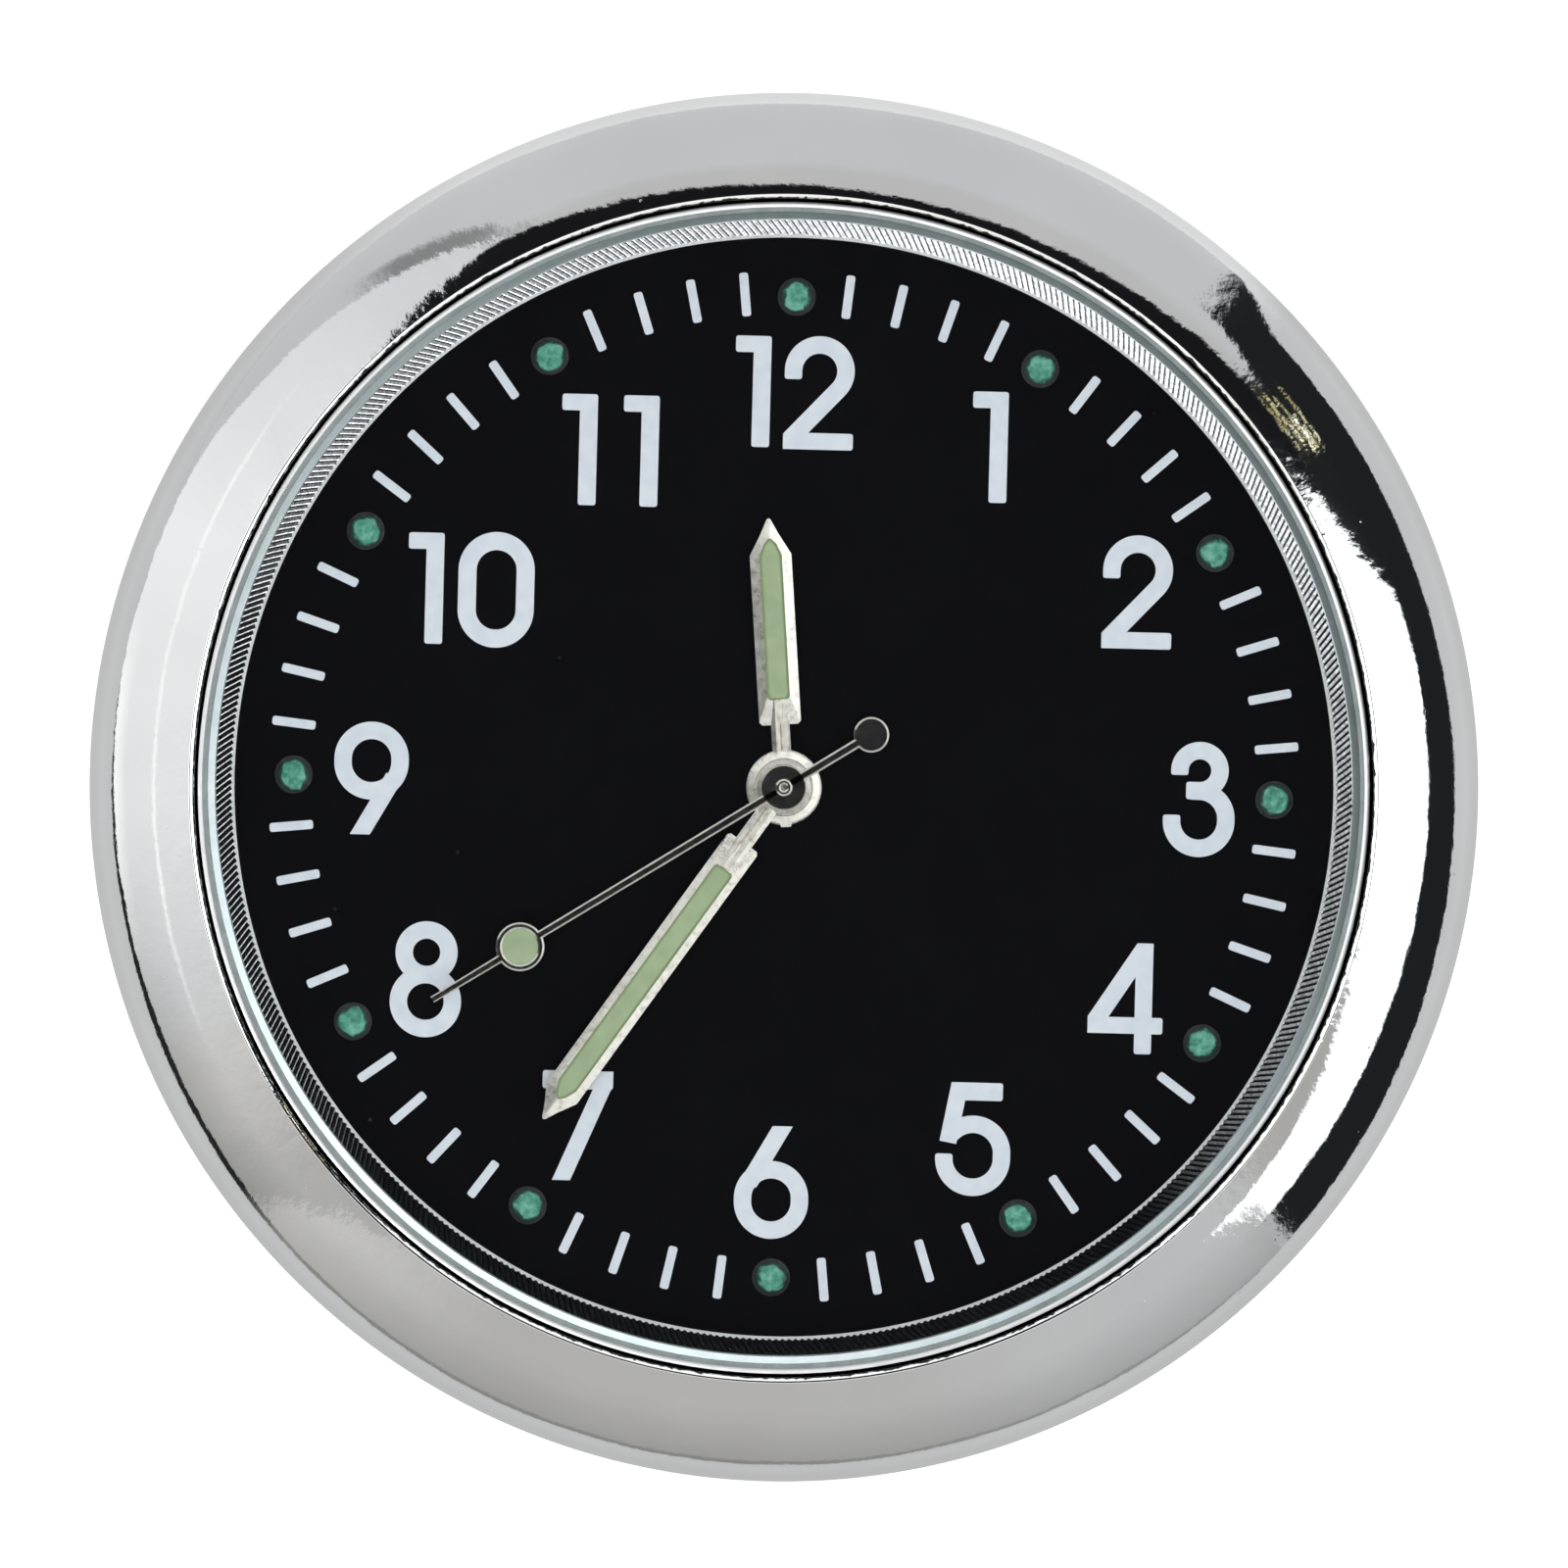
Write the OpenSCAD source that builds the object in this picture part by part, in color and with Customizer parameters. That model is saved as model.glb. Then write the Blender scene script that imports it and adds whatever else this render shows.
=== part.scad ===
// Stick-on dashboard clock: chrome case, press-in insert, quartz movement with three hands.
// Millimetres. 12 o'clock is +Z, the dial faces -Y, the origin is the centre of the adhesive back.
// Every piece is drawn face up, with z counted from the back, and then stood up by upright().

/* [Case] */
// Outside diameter of the chrome case
case_d = 42; // [40:0.1:44]
// Radius of the rounded bezel section
dome_r = 3.6; // [3:0.1:4.2]
// Width of the chrome ring round the insert, as a share of the case radius
bezel_share = 0.1595; // [0.13:0.0005:0.18]
// Rounding at the inner lip of the bezel
lip_round = 0.41; // [0.2:0.01:0.6]
// Height of the lip above the glass
lip_proud = 1.0; // [0.6:0.1:1.4]
// Straight part of the side below the rounded bezel
flank_h = 1.6; // [0.5:0.1:3]
// Taper of the side from the case to its foot
foot_in = 1.4; // [0.8:0.1:2]
// Chamfer of the foot edge
foot_chamfer = 0.5; // [0.2:0.1:0.8]
// Thickness of the case back plate
floor_t = 1.2; // [0.8:0.1:1.8]

/* [Adhesive pad] */
// Thickness of the foam pad
pad_t = 1.0; // [0.6:0.1:1.6]
// Margin of the foam pad inside the foot
pad_in = 1.1; // [0.8:0.1:2]

/* [Insert] */
// Radial gap between insert rim and case bore
rim_gap = 0.05; // [0.03:0.01:0.1]
// Visible wall of the cup rim around the gasket
rim_wall = 0.14; // [0.1:0.01:0.2]
// Wall of the gasket around the glass
gasket_wall = 0.14; // [0.1:0.01:0.2]
// Wall of the cup below the glass
cup_wall = 0.4; // [0.35:0.01:0.5]
// Thickness of the step behind the dial
cup_step_t = 0.5; // [0.4:0.05:0.6]
// Wall of the narrow rear of the cup
rear_wall = 0.7; // [0.5:0.05:0.8]
// Thickness of the snap-on back
cover_t = 0.5; // [0.4:0.05:0.7]
// Height of the snap skirt of the back
skirt_h = 0.6; // [0.4:0.05:0.65]
// Width of the snap skirt
skirt_w = 0.6; // [0.4:0.05:0.7]
// Thickness of the back gasket
back_gasket_t = 0.25; // [0.15:0.01:0.3]
// Margin of the back gasket inside the cup wall
gasket_inset = 0.05; // [0.03:0.01:0.1]
// Width of the rubber grip ring
grip_w = 1.4; // [1.2:0.05:1.45]
// Height of the rubber grip ring
grip_h = 1.1; // [0.9:0.05:1.15]
// Thickness of one fin of the grip ring
grip_fin_t = 0.3; // [0.2:0.05:0.4]
// Width of the grip ring sleeve
grip_sleeve = 0.6; // [0.4:0.05:0.9]
// Radial gap between grip fins and case bore
grip_gap = 0.03; // [0.02:0.01:0.06]

/* [Glass and reflector] */
// Thickness of the glass
crystal_t = 1.3; // [1:0.05:1.6]
// Ground chamfer of the glass
crystal_chamfer = 0.37; // [0.2:0.01:0.5]
// Height of the reflector ring
reflector_h = 2.2; // [2:0.05:2.6]
// Width of the reflector ring at its foot
reflector_w = 0.65; // [0.6:0.01:0.8]
// Width of the polished ledge at the foot of the reflector
ledge_w = 0.13; // [0.08:0.01:0.2]
// Height of the polished ledge
ledge_h = 0.14; // [0.1:0.01:0.2]
// Slope of the fluted reflector, outwards over its height
reflector_slope = 0.27; // [0.2:0.01:0.3]

/* [Dial] */
// Thickness of the dial
dial_t = 0.4; // [0.3:0.05:0.6]
// Gap between dial edge and cup wall
dial_gap = 0.05; // [0.03:0.01:0.1]
// Radius of the hole for the hands
dial_hole_r = 0.9; // [0.8:0.01:1]
// Distance of the dots from the reflector ring
dot_margin = 1.7; // [1.4:0.05:2]
// Radius of one dot
dot_r = 0.56; // [0.4:0.01:0.7]
// Radius of the flat top of one dot
dot_top_r = 0.36; // [0.2:0.01:0.38]
// Height of one dot at its edge
dot_edge_h = 0.06; // [0.04:0.01:0.08]
// Height of one dot
dot_h = 0.14; // [0.09:0.01:0.2]
// Number of dots
dot_count = 12;
// Radius of a dial foot
dial_foot_r = 0.35; // [0.25:0.01:0.45]
// Length of a dial foot
dial_foot_h = 0.8; // [0.5:0.05:0.9]
// Angle of the first dial foot
dial_foot_a = 60; // [50:1:75]

/* [Hands] */
// Hour hand, clockwise from 12
hour_angle = 355.2; // [0:0.1:360]
// Minute hand, clockwise from 12
minute_angle = 214.5; // [0:0.1:360]
// Second hand, clockwise from 12
second_angle = 237.4; // [0:0.1:360]
// Thickness of the hour and minute hands
hand_t = 0.16; // [0.12:0.01:0.2]
// Thickness at their bevelled edges
hand_edge_t = 0.07; // [0.04:0.01:0.1]
// Depth of the glow paint below the hand face
lume_low = 0.03; // [0.01:0.01:0.05]
// Length of the hour hand
hour_len = 8.15; // [7:0.05:9]
// Width of the hour hand blade
hour_w = 1.26; // [1.1:0.01:1.4]
// Length of the hour hand tip
hour_tip = 1.11; // [0.8:0.01:1.3]
// Start of the hour hand blade
hour_blade_r = 1.9; // [1.7:0.01:2.1]
// Radius of the hour hand hub
hour_hub_r = 1.14; // [1.05:0.01:1.3]
// Reach of the hour hand tail
hour_tail = 1.32; // [1.32:0.01:1.5]
// Start of the hour hand slot
hour_slot_r0 = 2.63; // [2.5:0.01:2.8]
// Metal left beyond the hour hand slot
hour_nose = 0.62; // [0.5:0.01:0.8]
// Width of the hour hand slot
hour_slot_w = 0.68; // [0.55:0.01:0.75]
// Length of the hour hand slot point
hour_slot_tip = 0.4; // [0.2:0.01:0.6]
// Width of the necks
neck_w = 0.6; // [0.5:0.01:0.64]
// Length of the minute hand
minute_len = 12.38; // [11:0.05:13]
// Width of the minute hand blade
minute_w = 1.12; // [1:0.01:1.3]
// Length of the minute hand tip
minute_tip = 0.96; // [0.7:0.01:1.1]
// Start of the minute hand blade
minute_blade_r = 2.06; // [1.8:0.01:2.3]
// Radius of the minute hand hub
minute_hub_r = 0.82; // [0.75:0.01:0.95]
// Start of the minute hand slot
minute_slot_r0 = 3.02; // [2.8:0.01:3.3]
// Metal left beyond the minute hand slot
minute_nose = 0.76; // [0.6:0.01:0.9]
// Width of the minute hand slot
minute_slot_w = 0.65; // [0.5:0.01:0.7]
// Length of the minute hand slot point
minute_slot_tip = 0.4; // [0.2:0.01:0.6]
// Height of the hand hubs below the hands
hub_drop = 0.18; // [0.1:0.01:0.2]
// Length of the second hand
second_len = 12.39; // [11:0.05:13]
// Width of the second hand at the hub
second_w = 0.28; // [0.2:0.01:0.35]
// Width of the second hand at the tip
second_tip_w = 0.22; // [0.15:0.01:0.28]
// Thickness of the second hand
second_t = 0.12; // [0.1:0.01:0.15]
// Radius of the second hand hub
second_hub_r = 0.65; // [0.55:0.01:0.75]
// Length of the second hand beyond its glow ring
second_reach = 3.09; // [2.5:0.01:3.5]
// Outside diameter of the glow ring
second_ring_d = 1.47; // [1.3:0.01:1.6]
// Diameter of the glow disc
second_disc_d = 1.09; // [0.9:0.01:1.2]
// Distance of the counterweight
second_tail = 3.08; // [2.5:0.01:3.5]
// Diameter of the counterweight
second_tail_d = 1.07; // [0.9:0.01:1.2]
// Radius of the second hand tube
second_tube_r = 0.25; // [0.22:0.01:0.3]
// Radius of the hole in the end of the tube
second_eye_r = 0.1; // [0.08:0.01:0.12]
// Height of the tube above the second hand
second_tube_up = 0.17; // [0.1:0.01:0.25]
// Depth of the eye in the tube end
second_eye_h = 0.06; // [0.04:0.01:0.08]
// Gap between dial and hour hand
hour_up = 0.45; // [0.35:0.01:0.55]
// Gap between the hands
hand_gap = 0.32; // [0.28:0.01:0.35]

/* [Movement] */
// Diameter of the movement
movement_d = 25; // [24.8:0.1:25.2]
// Width of the movement holder ring
holder_w = 1.2; // [1:0.05:1.4]
// Gap under the movement holder
holder_gap = 0.1; // [0.05:0.01:0.2]
// Gap between back and train bridge
bridge_gap = 0.4; // [0.35:0.01:0.5]
// Thickness of the train bridge
bridge_t = 0.5; // [0.4:0.05:0.6]
// Width of the bridge arms
bridge_arm_w = 1.8; // [1.4:0.1:2]
// Thickness of the wheels
wheel_t = 0.2; // [0.15:0.01:0.25]
// Clear height between wheels
wheel_gap = 0.35; // [0.3:0.01:0.4]
// Clear height above the bridge
bridge_clear = 0.25; // [0.2:0.01:0.3]
// Thickness of the main plate
plate_t = 0.9; // [0.8:0.05:1]
// Width of the main plate rim under the dial
plate_rim_w = 1.2; // [1:0.05:1.4]
// Running clearance of shafts in their holes, radial
run_gap = 0.05; // [0.03:0.01:0.07]
// Axial clearance beside the motion work
end_gap = 0.05; // [0.03:0.01:0.08]
// Radius of the second arbor
second_arbor_r = 0.15; // [0.13:0.01:0.16]
// Wall of the cannon pinion tube
cannon_wall = 0.22; // [0.18:0.01:0.24]
// Wall of the hour wheel tube
hour_tube_wall = 0.25; // [0.2:0.01:0.27]
// Radius of the other arbors
arbor_r = 0.18; // [0.15:0.01:0.2]
// Direction of the third wheel from the centre
third_a = 100; // [97:1:103]
// Direction of the intermediate wheel from the centre
inter_a = 240; // [238:1:242]
// Direction of the rotor from the intermediate wheel
rotor_a = 310; // [308:1:312]
// Direction of the minute wheel from the centre
minute_wheel_a = 320; // [300:1:330]
// Module of the second pinion and third wheel
train_module = 0.14; // [0.138:0.001:0.142]
// Module of the intermediate pinion and second wheel
inter_module = 0.17; // [0.168:0.001:0.172]
// Module of the rotor pinion and intermediate wheel
rotor_module = 0.13; // [0.128:0.001:0.132]
// Module of the cannon pinion and minute wheel
motion_module = 0.15; // [0.148:0.001:0.152]
// Radius of the rotor magnet
magnet_r = 0.75; // [0.7:0.01:0.8]
// Air gap around the rotor magnet
magnet_gap = 0.2; // [0.15:0.01:0.25]
// Thickness of the stator and coil core
iron_t = 0.4; // [0.3:0.01:0.42]
// Radius of the stator ring around the rotor
stator_ring_r = 1.9; // [1.7:0.05:2]
// Width of the stator legs
stator_w = 1.4; // [1.2:0.05:1.5]
// Distance of the coil from the centre
coil_y = 9.9; // [9.8:0.05:10]
// Distance between the two stator legs
coil_span = 10.4; // [10.2:0.1:10.6]
// Length of the winding
coil_len = 8; // [7:0.1:8.4]
// Radius of the winding
coil_r = 0.9; // [0.85:0.01:0.95]
// Radius of a pillar
pillar_r = 0.7; // [0.6:0.01:0.75]
// Radius of a screw shank
screw_r = 0.3; // [0.25:0.01:0.32]
// Radius of a screw head
screw_head_r = 0.55; // [0.5:0.01:0.6]
// Height of a screw head
screw_head_h = 0.3; // [0.2:0.01:0.32]
// Length of a screw shank in its pillar
screw_in = 0.6; // [0.5:0.05:0.7]
// Distance of the lower right pillar
pillar_1_r = 6.7; // [6.6:0.05:7]
// Direction of the lower right pillar
pillar_1_a = 317; // [315:1:320]
// Distance of the upper left pillar
pillar_2_r = 8.4; // [8.3:0.05:8.6]
// Direction of the upper left pillar
pillar_2_a = 141; // [140:1:142]
// Distance of the upper right pillar
pillar_3_r = 8.9; // [8.7:0.05:9.1]
// Direction of the upper right pillar
pillar_3_a = 59; // [58:1:60]
// Distance of the lower left pillar
pillar_4_r = 8.5; // [8.4:0.05:8.7]
// Direction of the lower left pillar
pillar_4_a = 216; // [214:1:218]

/* [Electronics] */
// Radius of the battery
battery_r = 3.4; // [3.2:0.05:3.45]
// Radius of the battery's smaller pole
battery_cap_r = 2.8; // [2.5:0.05:3]
// Height of the battery's smaller pole
battery_cap_h = 0.5; // [0.3:0.05:0.6]
// Distance of the battery from the centre
battery_x = 8.3; // [8.2:0.05:8.5]
// Height of the battery above the centre line
battery_y = 0.6; // [0.4:0.05:0.8]
// Thickness of the battery strap
strap_t = 0.18; // [0.12:0.01:0.2]
// Width of the battery strap
strap_w = 1.6; // [1.4:0.1:2]
// Gap between battery strap and back
strap_gap = 0.07; // [0.05:0.01:0.1]
// Circuit board width
board_w = 5.2; // [5:0.1:5.3]
// Circuit board height
board_h = 4.9; // [4.6:0.1:5]
// Circuit board thickness
board_t = 0.3; // [0.2:0.01:0.35]
// Left edge of the circuit board
board_x = 5.4; // [5.35:0.01:5.5]
// Lower edge of the circuit board
board_y = 1.9; // [1.7:0.05:2]
// Radius of the timing chip cover
chip_r = 1.1; // [0.9:0.05:1.2]
// Height of the timing chip cover
chip_h = 0.6; // [0.4:0.05:0.7]
// Radius of the quartz can
can_r = 0.7; // [0.6:0.01:0.75]
// Length of the quartz can
can_len = 4.4; // [4:0.1:4.6]
// Radius of the quartz can leads
lead_r = 0.12; // [0.1:0.01:0.14]
// Margin of the electronics from the board edge
board_margin = 0.25; // [0.2:0.01:0.3]

/* [Crown and setting] */
// Height of the stem above the back of the movement bridge
stem_up = 0.8; // [0.78:0.01:0.85]
// Radius of the stem
stem_r = 0.45; // [0.4:0.01:0.48]
// Side of the square end of the stem
stem_square = 0.5; // [0.45:0.01:0.52]
// Inner end of the stem
stem_x0 = 5.2; // [5.1:0.05:5.3]
// Length of the square end of the stem
stem_square_l = 2.1; // [2.05:0.05:2.2]
// Radius of the stem groove
stem_groove_r = 0.28; // [0.25:0.01:0.3]
// Width of the stem groove
stem_groove_w = 0.6; // [0.58:0.01:0.64]
// Travel of the crown when pulled
crown_travel = 0.8; // [0.5:0.05:0.85]
// Radius of the crown
crown_r = 1.22; // [1.1:0.01:1.24]
// Thickness of the crown
crown_t = 1.1; // [1:0.05:1.15]
// Flutes of the crown
crown_flutes = 24; // [18:1:30]
// Radius of the crown dimple
crown_dimple_r = 0.7; // [0.5:0.01:0.75]
// Depth of the crown dimple
crown_dimple_h = 0.15; // [0.1:0.01:0.2]
// Wall of the crown tube
crown_tube_wall = 0.25; // [0.2:0.01:0.28]
// Reach of the crown tube outside the cup
crown_tube_out = 0.2; // [0.15:0.01:0.25]
// Gap between crown and its tube
crown_gap = 0.1; // [0.08:0.01:0.15]
// Start of the sliding pinion
clutch_x0 = 5.6; // [5.5:0.05:5.7]
// Length of the sliding pinion
clutch_l = 1.4; // [1.3:0.05:1.45]
// Module of the sliding pinion
clutch_module = 0.11; // [0.1:0.002:0.114]
// Radius of the sliding pinion groove
clutch_groove_r = 0.48; // [0.46:0.01:0.5]
// Width of the sliding pinion groove
clutch_groove_w = 0.4; // [0.3:0.05:0.5]
// Distance of the setting lever pivot below the stem
lever_arm = 2.6; // [2.4:0.05:2.8]
// Position of the setting lever along the stem
lever_x = 8; // [7.95:0.01:8.05]
// Width of the setting lever
lever_w = 1.2; // [1.1:0.05:1.4]
// Thickness of the setting lever
lever_t = 0.25; // [0.2:0.01:0.28]
// Radius of the setting lever pin
lever_pin_r = 0.2; // [0.15:0.01:0.2]
// Radius of the setting lever pivot
lever_pivot_r = 0.35; // [0.3:0.01:0.4]
// Gap between setting lever and main plate
lever_gap = 0.15; // [0.1:0.01:0.17]
// Start of the stem bearing in the main plate
boss_x0 = 9.6; // [9.55:0.05:9.7]
// Length of the stem bearing
boss_l = 1.8; // [1.5:0.1:1.9]
// Width of the stem bearing
boss_w = 2.2; // [2:0.1:2.3]

/* [Hidden] */
$fn = 96;
// overshoot of every cut
cut = 0.1;
// tooth counts of the going train and the motion work
rotor_teeth = 8;
inter_wheel_teeth = 40;
inter_pinion_teeth = 8;
second_wheel_teeth = 48;
second_pinion_teeth = 8;
third_wheel_teeth = 60;
third_pinion_teeth = 8;
centre_wheel_teeth = 64;
cannon_teeth = 12;
minute_wheel_teeth = 36;
minute_pinion_teeth = 10;
hour_wheel_teeth = 40;
clutch_teeth = 12;
// tooth form in modules, and its half widths in pitches at root and tip
addendum = 0.75;
dedendum = 1.15;
tooth_root = 0.27;
tooth_tip = 0.12;
// lightening holes of the wheels
wheel_holes = 5;
wheel_hole_at = 0.58;
wheel_hole_size = 0.22;

// heights, counted from the back
case_z0 = pad_t;
floor_z = case_z0 + floor_t;
cover_z = floor_z + cover_t;
bridge_z0 = cover_z + bridge_gap;
bridge_z1 = bridge_z0 + bridge_t;
second_z0 = bridge_z1 + bridge_clear;
second_z1 = second_z0 + wheel_t;
inter_z0 = second_z1 + wheel_gap - end_gap;
third_z0 = second_z1 + wheel_gap;
third_z1 = third_z0 + wheel_t;
centre_z0 = third_z1 + wheel_gap;
centre_z1 = centre_z0 + wheel_t;
plate_z0 = centre_z1 + wheel_gap;
plate_z1 = plate_z0 + plate_t;
minute_wheel_z0 = plate_z1 + bridge_clear;
minute_wheel_z1 = minute_wheel_z0 + wheel_t;
hour_wheel_z0 = minute_wheel_z1 + 3 * end_gap;
hour_wheel_z1 = hour_wheel_z0 + wheel_t;
dial_z0 = hour_wheel_z1 + wheel_t;
dial_z1 = dial_z0 + dial_t;
hour_z = dial_z1 + hour_up;
minute_z = hour_z + hand_t + hand_gap;
second_hand_z = minute_z + hand_t + hand_gap;
second_tube_z1 = second_hand_z + second_t + second_tube_up;
crystal_z0 = dial_z1 + reflector_h;
crystal_z1 = crystal_z0 + crystal_t;
crest_z = crystal_z1 + lip_proud;
stem_z = bridge_z1 + stem_up;

// radii of the case and insert
case_r = case_d / 2;
bore_r = case_r * (1 - bezel_share);
foot_r = case_r - foot_in;
pad_r = foot_r - pad_in;
dome_c = case_r - dome_r;
lip_c = bore_r + lip_round;
lip_z = crest_z - lip_round;
dome_z = lip_z - sqrt(pow(dome_r - lip_round, 2) - pow(lip_c - dome_c, 2));
// direction from the centre of the bezel section to the centre of its lip
lip_dir = [lip_c - dome_c, lip_z - dome_z] / (dome_r - lip_round);
rim_r = bore_r - rim_gap;
seat_r = rim_r - rim_wall;
crystal_r = seat_r - gasket_wall;
cup_r = rim_r - cup_wall;
grip_seat_r = bore_r - grip_w;
dial_view_r = cup_r - reflector_w;
dot_ring_r = dial_view_r - dot_margin;
movement_r = movement_d / 2;
holder_r = movement_r + holder_w;
rear_r = holder_r + rear_wall;
cup_z0 = cover_z + back_gasket_t;
step_z0 = dial_z0 - cup_step_t;

// radii on the centre line
cannon_in_r = second_arbor_r + run_gap;
cannon_r = cannon_in_r + cannon_wall;
hour_tube_in_r = cannon_r + run_gap;
hour_tube_r = hour_tube_in_r + hour_tube_wall;
hole_r = arbor_r + run_gap;

// places along the hands
hour_slot_r1 = hour_len - hour_nose;
minute_slot_r1 = minute_len - minute_nose;
second_ring_r = second_len - second_reach;

// wheel centres
third_c = train_module * (second_pinion_teeth + third_wheel_teeth) / 2;
centre_module = third_c / ((third_pinion_teeth + centre_wheel_teeth) / 2);
inter_c = inter_module * (inter_pinion_teeth + second_wheel_teeth) / 2;
rotor_c = rotor_module * (rotor_teeth + inter_wheel_teeth) / 2;
motion_c = motion_module * (cannon_teeth + minute_wheel_teeth) / 2;
hour_module = motion_c / ((minute_pinion_teeth + hour_wheel_teeth) / 2);
third_p = polar(third_c, third_a);
inter_p = polar(inter_c, inter_a);
rotor_p = inter_p + polar(rotor_c, rotor_a);
motion_p = polar(motion_c, minute_wheel_a);
pillars = [polar(pillar_1_r, pillar_1_a), polar(pillar_2_r, pillar_2_a),
    polar(pillar_3_r, pillar_3_a), polar(pillar_4_r, pillar_4_a)];
coil_ends = [[-coil_span / 2, -coil_y], [coil_span / 2, -coil_y]];
stator_z0 = second_z0 - end_gap;
stator_z1 = stator_z0 + iron_t;
core_z1 = stator_z1 + iron_t;
coil_z = (stator_z1 + core_z1) / 2;

// parts around the stem
tube_r = stem_r + run_gap + crown_tube_wall;
crown_x0 = rear_r + crown_tube_out + crown_gap;
dial_foot_c = movement_r - plate_rim_w / 2;
strap_z0 = cover_z + strap_gap;
strap_z1 = strap_z0 + strap_t;
lever_z1 = plate_z0 - lever_gap;
lever_z0 = lever_z1 - lever_t;

function polar(r, a) = [r * cos(a), r * sin(a)];

// corner points of a toothed wheel, with a tooth at the given angle
function teeth(n, m, at) = [for (i = [0 : n - 1]) for (s = [-tooth_root, -tooth_tip, tooth_tip, tooth_root])
    polar(m * n / 2 + m * (abs(s) == tooth_tip ? addendum : -dedendum), at + (i + s) * 360 / n)];

// angle of a tooth of the second wheel of a pair, so that it meets a gap of the first
function mesh_at(n1, at1, n2, dir) = dir + 180 - (180 - n1 * (dir - at1)) / n2;

// stands a piece up: height becomes -Y, and 12 o'clock becomes +Z
module upright() {
    rotate([90, 0, 0])
        children();
}

// round disc between two heights
module disc(r, z0, z1) {
    translate([0, 0, z0])
        cylinder(r = r, h = z1 - z0);
}

// ring between two heights
module ring(r1, r0, z0, z1) {
    difference() {
        disc(r1, z0, z1);
        disc(r0, z0 - cut, z1 + cut);
    }
}

// flat bar between two points of the movement plan
module bar(p, q, w) {
    d = q - p;
    translate(p)
        rotate(atan2(d.y, d.x))
            translate([0, -w / 2])
                square([norm(d), w]);
}

// round rod along the stem axis between two distances from the centre
module rod(r, x0, x1) {
    translate([x0, 0, stem_z])
        rotate([0, 90, 0])
            cylinder(r = r, h = x1 - x0);
}

// toothed wheel between two heights
module gear(n, m, at, z0, z1) {
    translate([0, 0, z0])
        linear_extrude(height = z1 - z0)
            polygon(teeth(n, m, at));
}

// lightening holes of a large wheel
module wheel_cuts(r, z0, z1) {
    for (i = [0 : wheel_holes - 1])
        rotate([0, 0, (i + 0.5) * 360 / wheel_holes])
            translate([r * wheel_hole_at, 0, 0])
                disc(r * wheel_hole_size, z0 - cut, z1 + cut);
}

// chrome case: rounded bezel, straight flank, tapering side and closed back plate
module bezel_case() {
    color([0.8, 0.8, 0.82])
        upright()
            rotate_extrude()
                difference() {
                    union() {
                        translate([dome_c, dome_z])
                            intersection() {
                                circle(r = dome_r);
                                polygon([[0, 0], 2 * dome_r * lip_dir, [2 * dome_r, 2 * dome_r],
                                    [2 * dome_r, 0]]);
                            }
                        translate([lip_c, lip_z])
                            circle(r = lip_round);
                        polygon([[0, case_z0], [foot_r - foot_chamfer, case_z0],
                            [foot_r, case_z0 + foot_chamfer], [case_r, dome_z - flank_h], [case_r, dome_z],
                            [dome_c, dome_z], [lip_c, lip_z], [0, lip_z]]);
                    }
                    translate([0, floor_z])
                        square([bore_r, 2 * crest_z]);
                }
}

// foam disc with adhesive on both faces
module adhesive_pad() {
    color([0.12, 0.12, 0.12])
        upright()
            disc(pad_r, 0, pad_t);
}

// metal cup: thin rim round the glass, step behind the dial, skirt for the grip ring, narrow rear
module insert_cup() {
    color([0.78, 0.78, 0.78])
        upright()
            difference() {
                union() {
                    ring(rim_r, cup_r, step_z0, crystal_z0);
                    ring(rim_r, seat_r, crystal_z0 - cut, crystal_z1 + end_gap);
                    ring(rim_r, holder_r, step_z0, dial_z0);
                    ring(grip_seat_r, grip_seat_r - cup_wall, step_z0 - grip_h, step_z0 + cut);
                    ring(rear_r, holder_r, cup_z0, step_z0 + cut);
                }
                rod(tube_r, 0, case_r);
            }
}

// rubber ring behind the step: a sleeve with two fins that bear on the case bore
module grip_ring() {
    fin_r = bore_r - grip_gap;
    z0 = step_z0 - grip_h;
    color([0.1, 0.1, 0.1])
        upright()
            union() {
                ring(grip_seat_r + grip_sleeve, grip_seat_r, z0, step_z0);
                ring(fin_r, grip_seat_r, z0, z0 + grip_fin_t);
                ring(fin_r, grip_seat_r, step_z0 - grip_fin_t, step_z0);
            }
}

// snap-on back with its skirt
module back_cover() {
    color([0.7, 0.7, 0.7])
        upright()
            union() {
                disc(rear_r, floor_z, cover_z);
                ring(holder_r, holder_r - skirt_w, cover_z - cut, cover_z + skirt_h);
            }
}

// flat gasket between back and cup
module back_gasket() {
    color([0.1, 0.1, 0.1])
        upright()
            ring(rear_r - gasket_inset, holder_r, cover_z, cup_z0);
}

// plastic ring that centres the movement
module movement_holder() {
    color([0.85, 0.85, 0.82])
        upright()
            difference() {
                ring(holder_r, movement_r, cover_z + skirt_h + holder_gap, dial_z0);
                translate([0, -boss_w / 2, 0])
                    cube([case_r, boss_w, stem_z + boss_w / 2]);
            }
}

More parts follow.
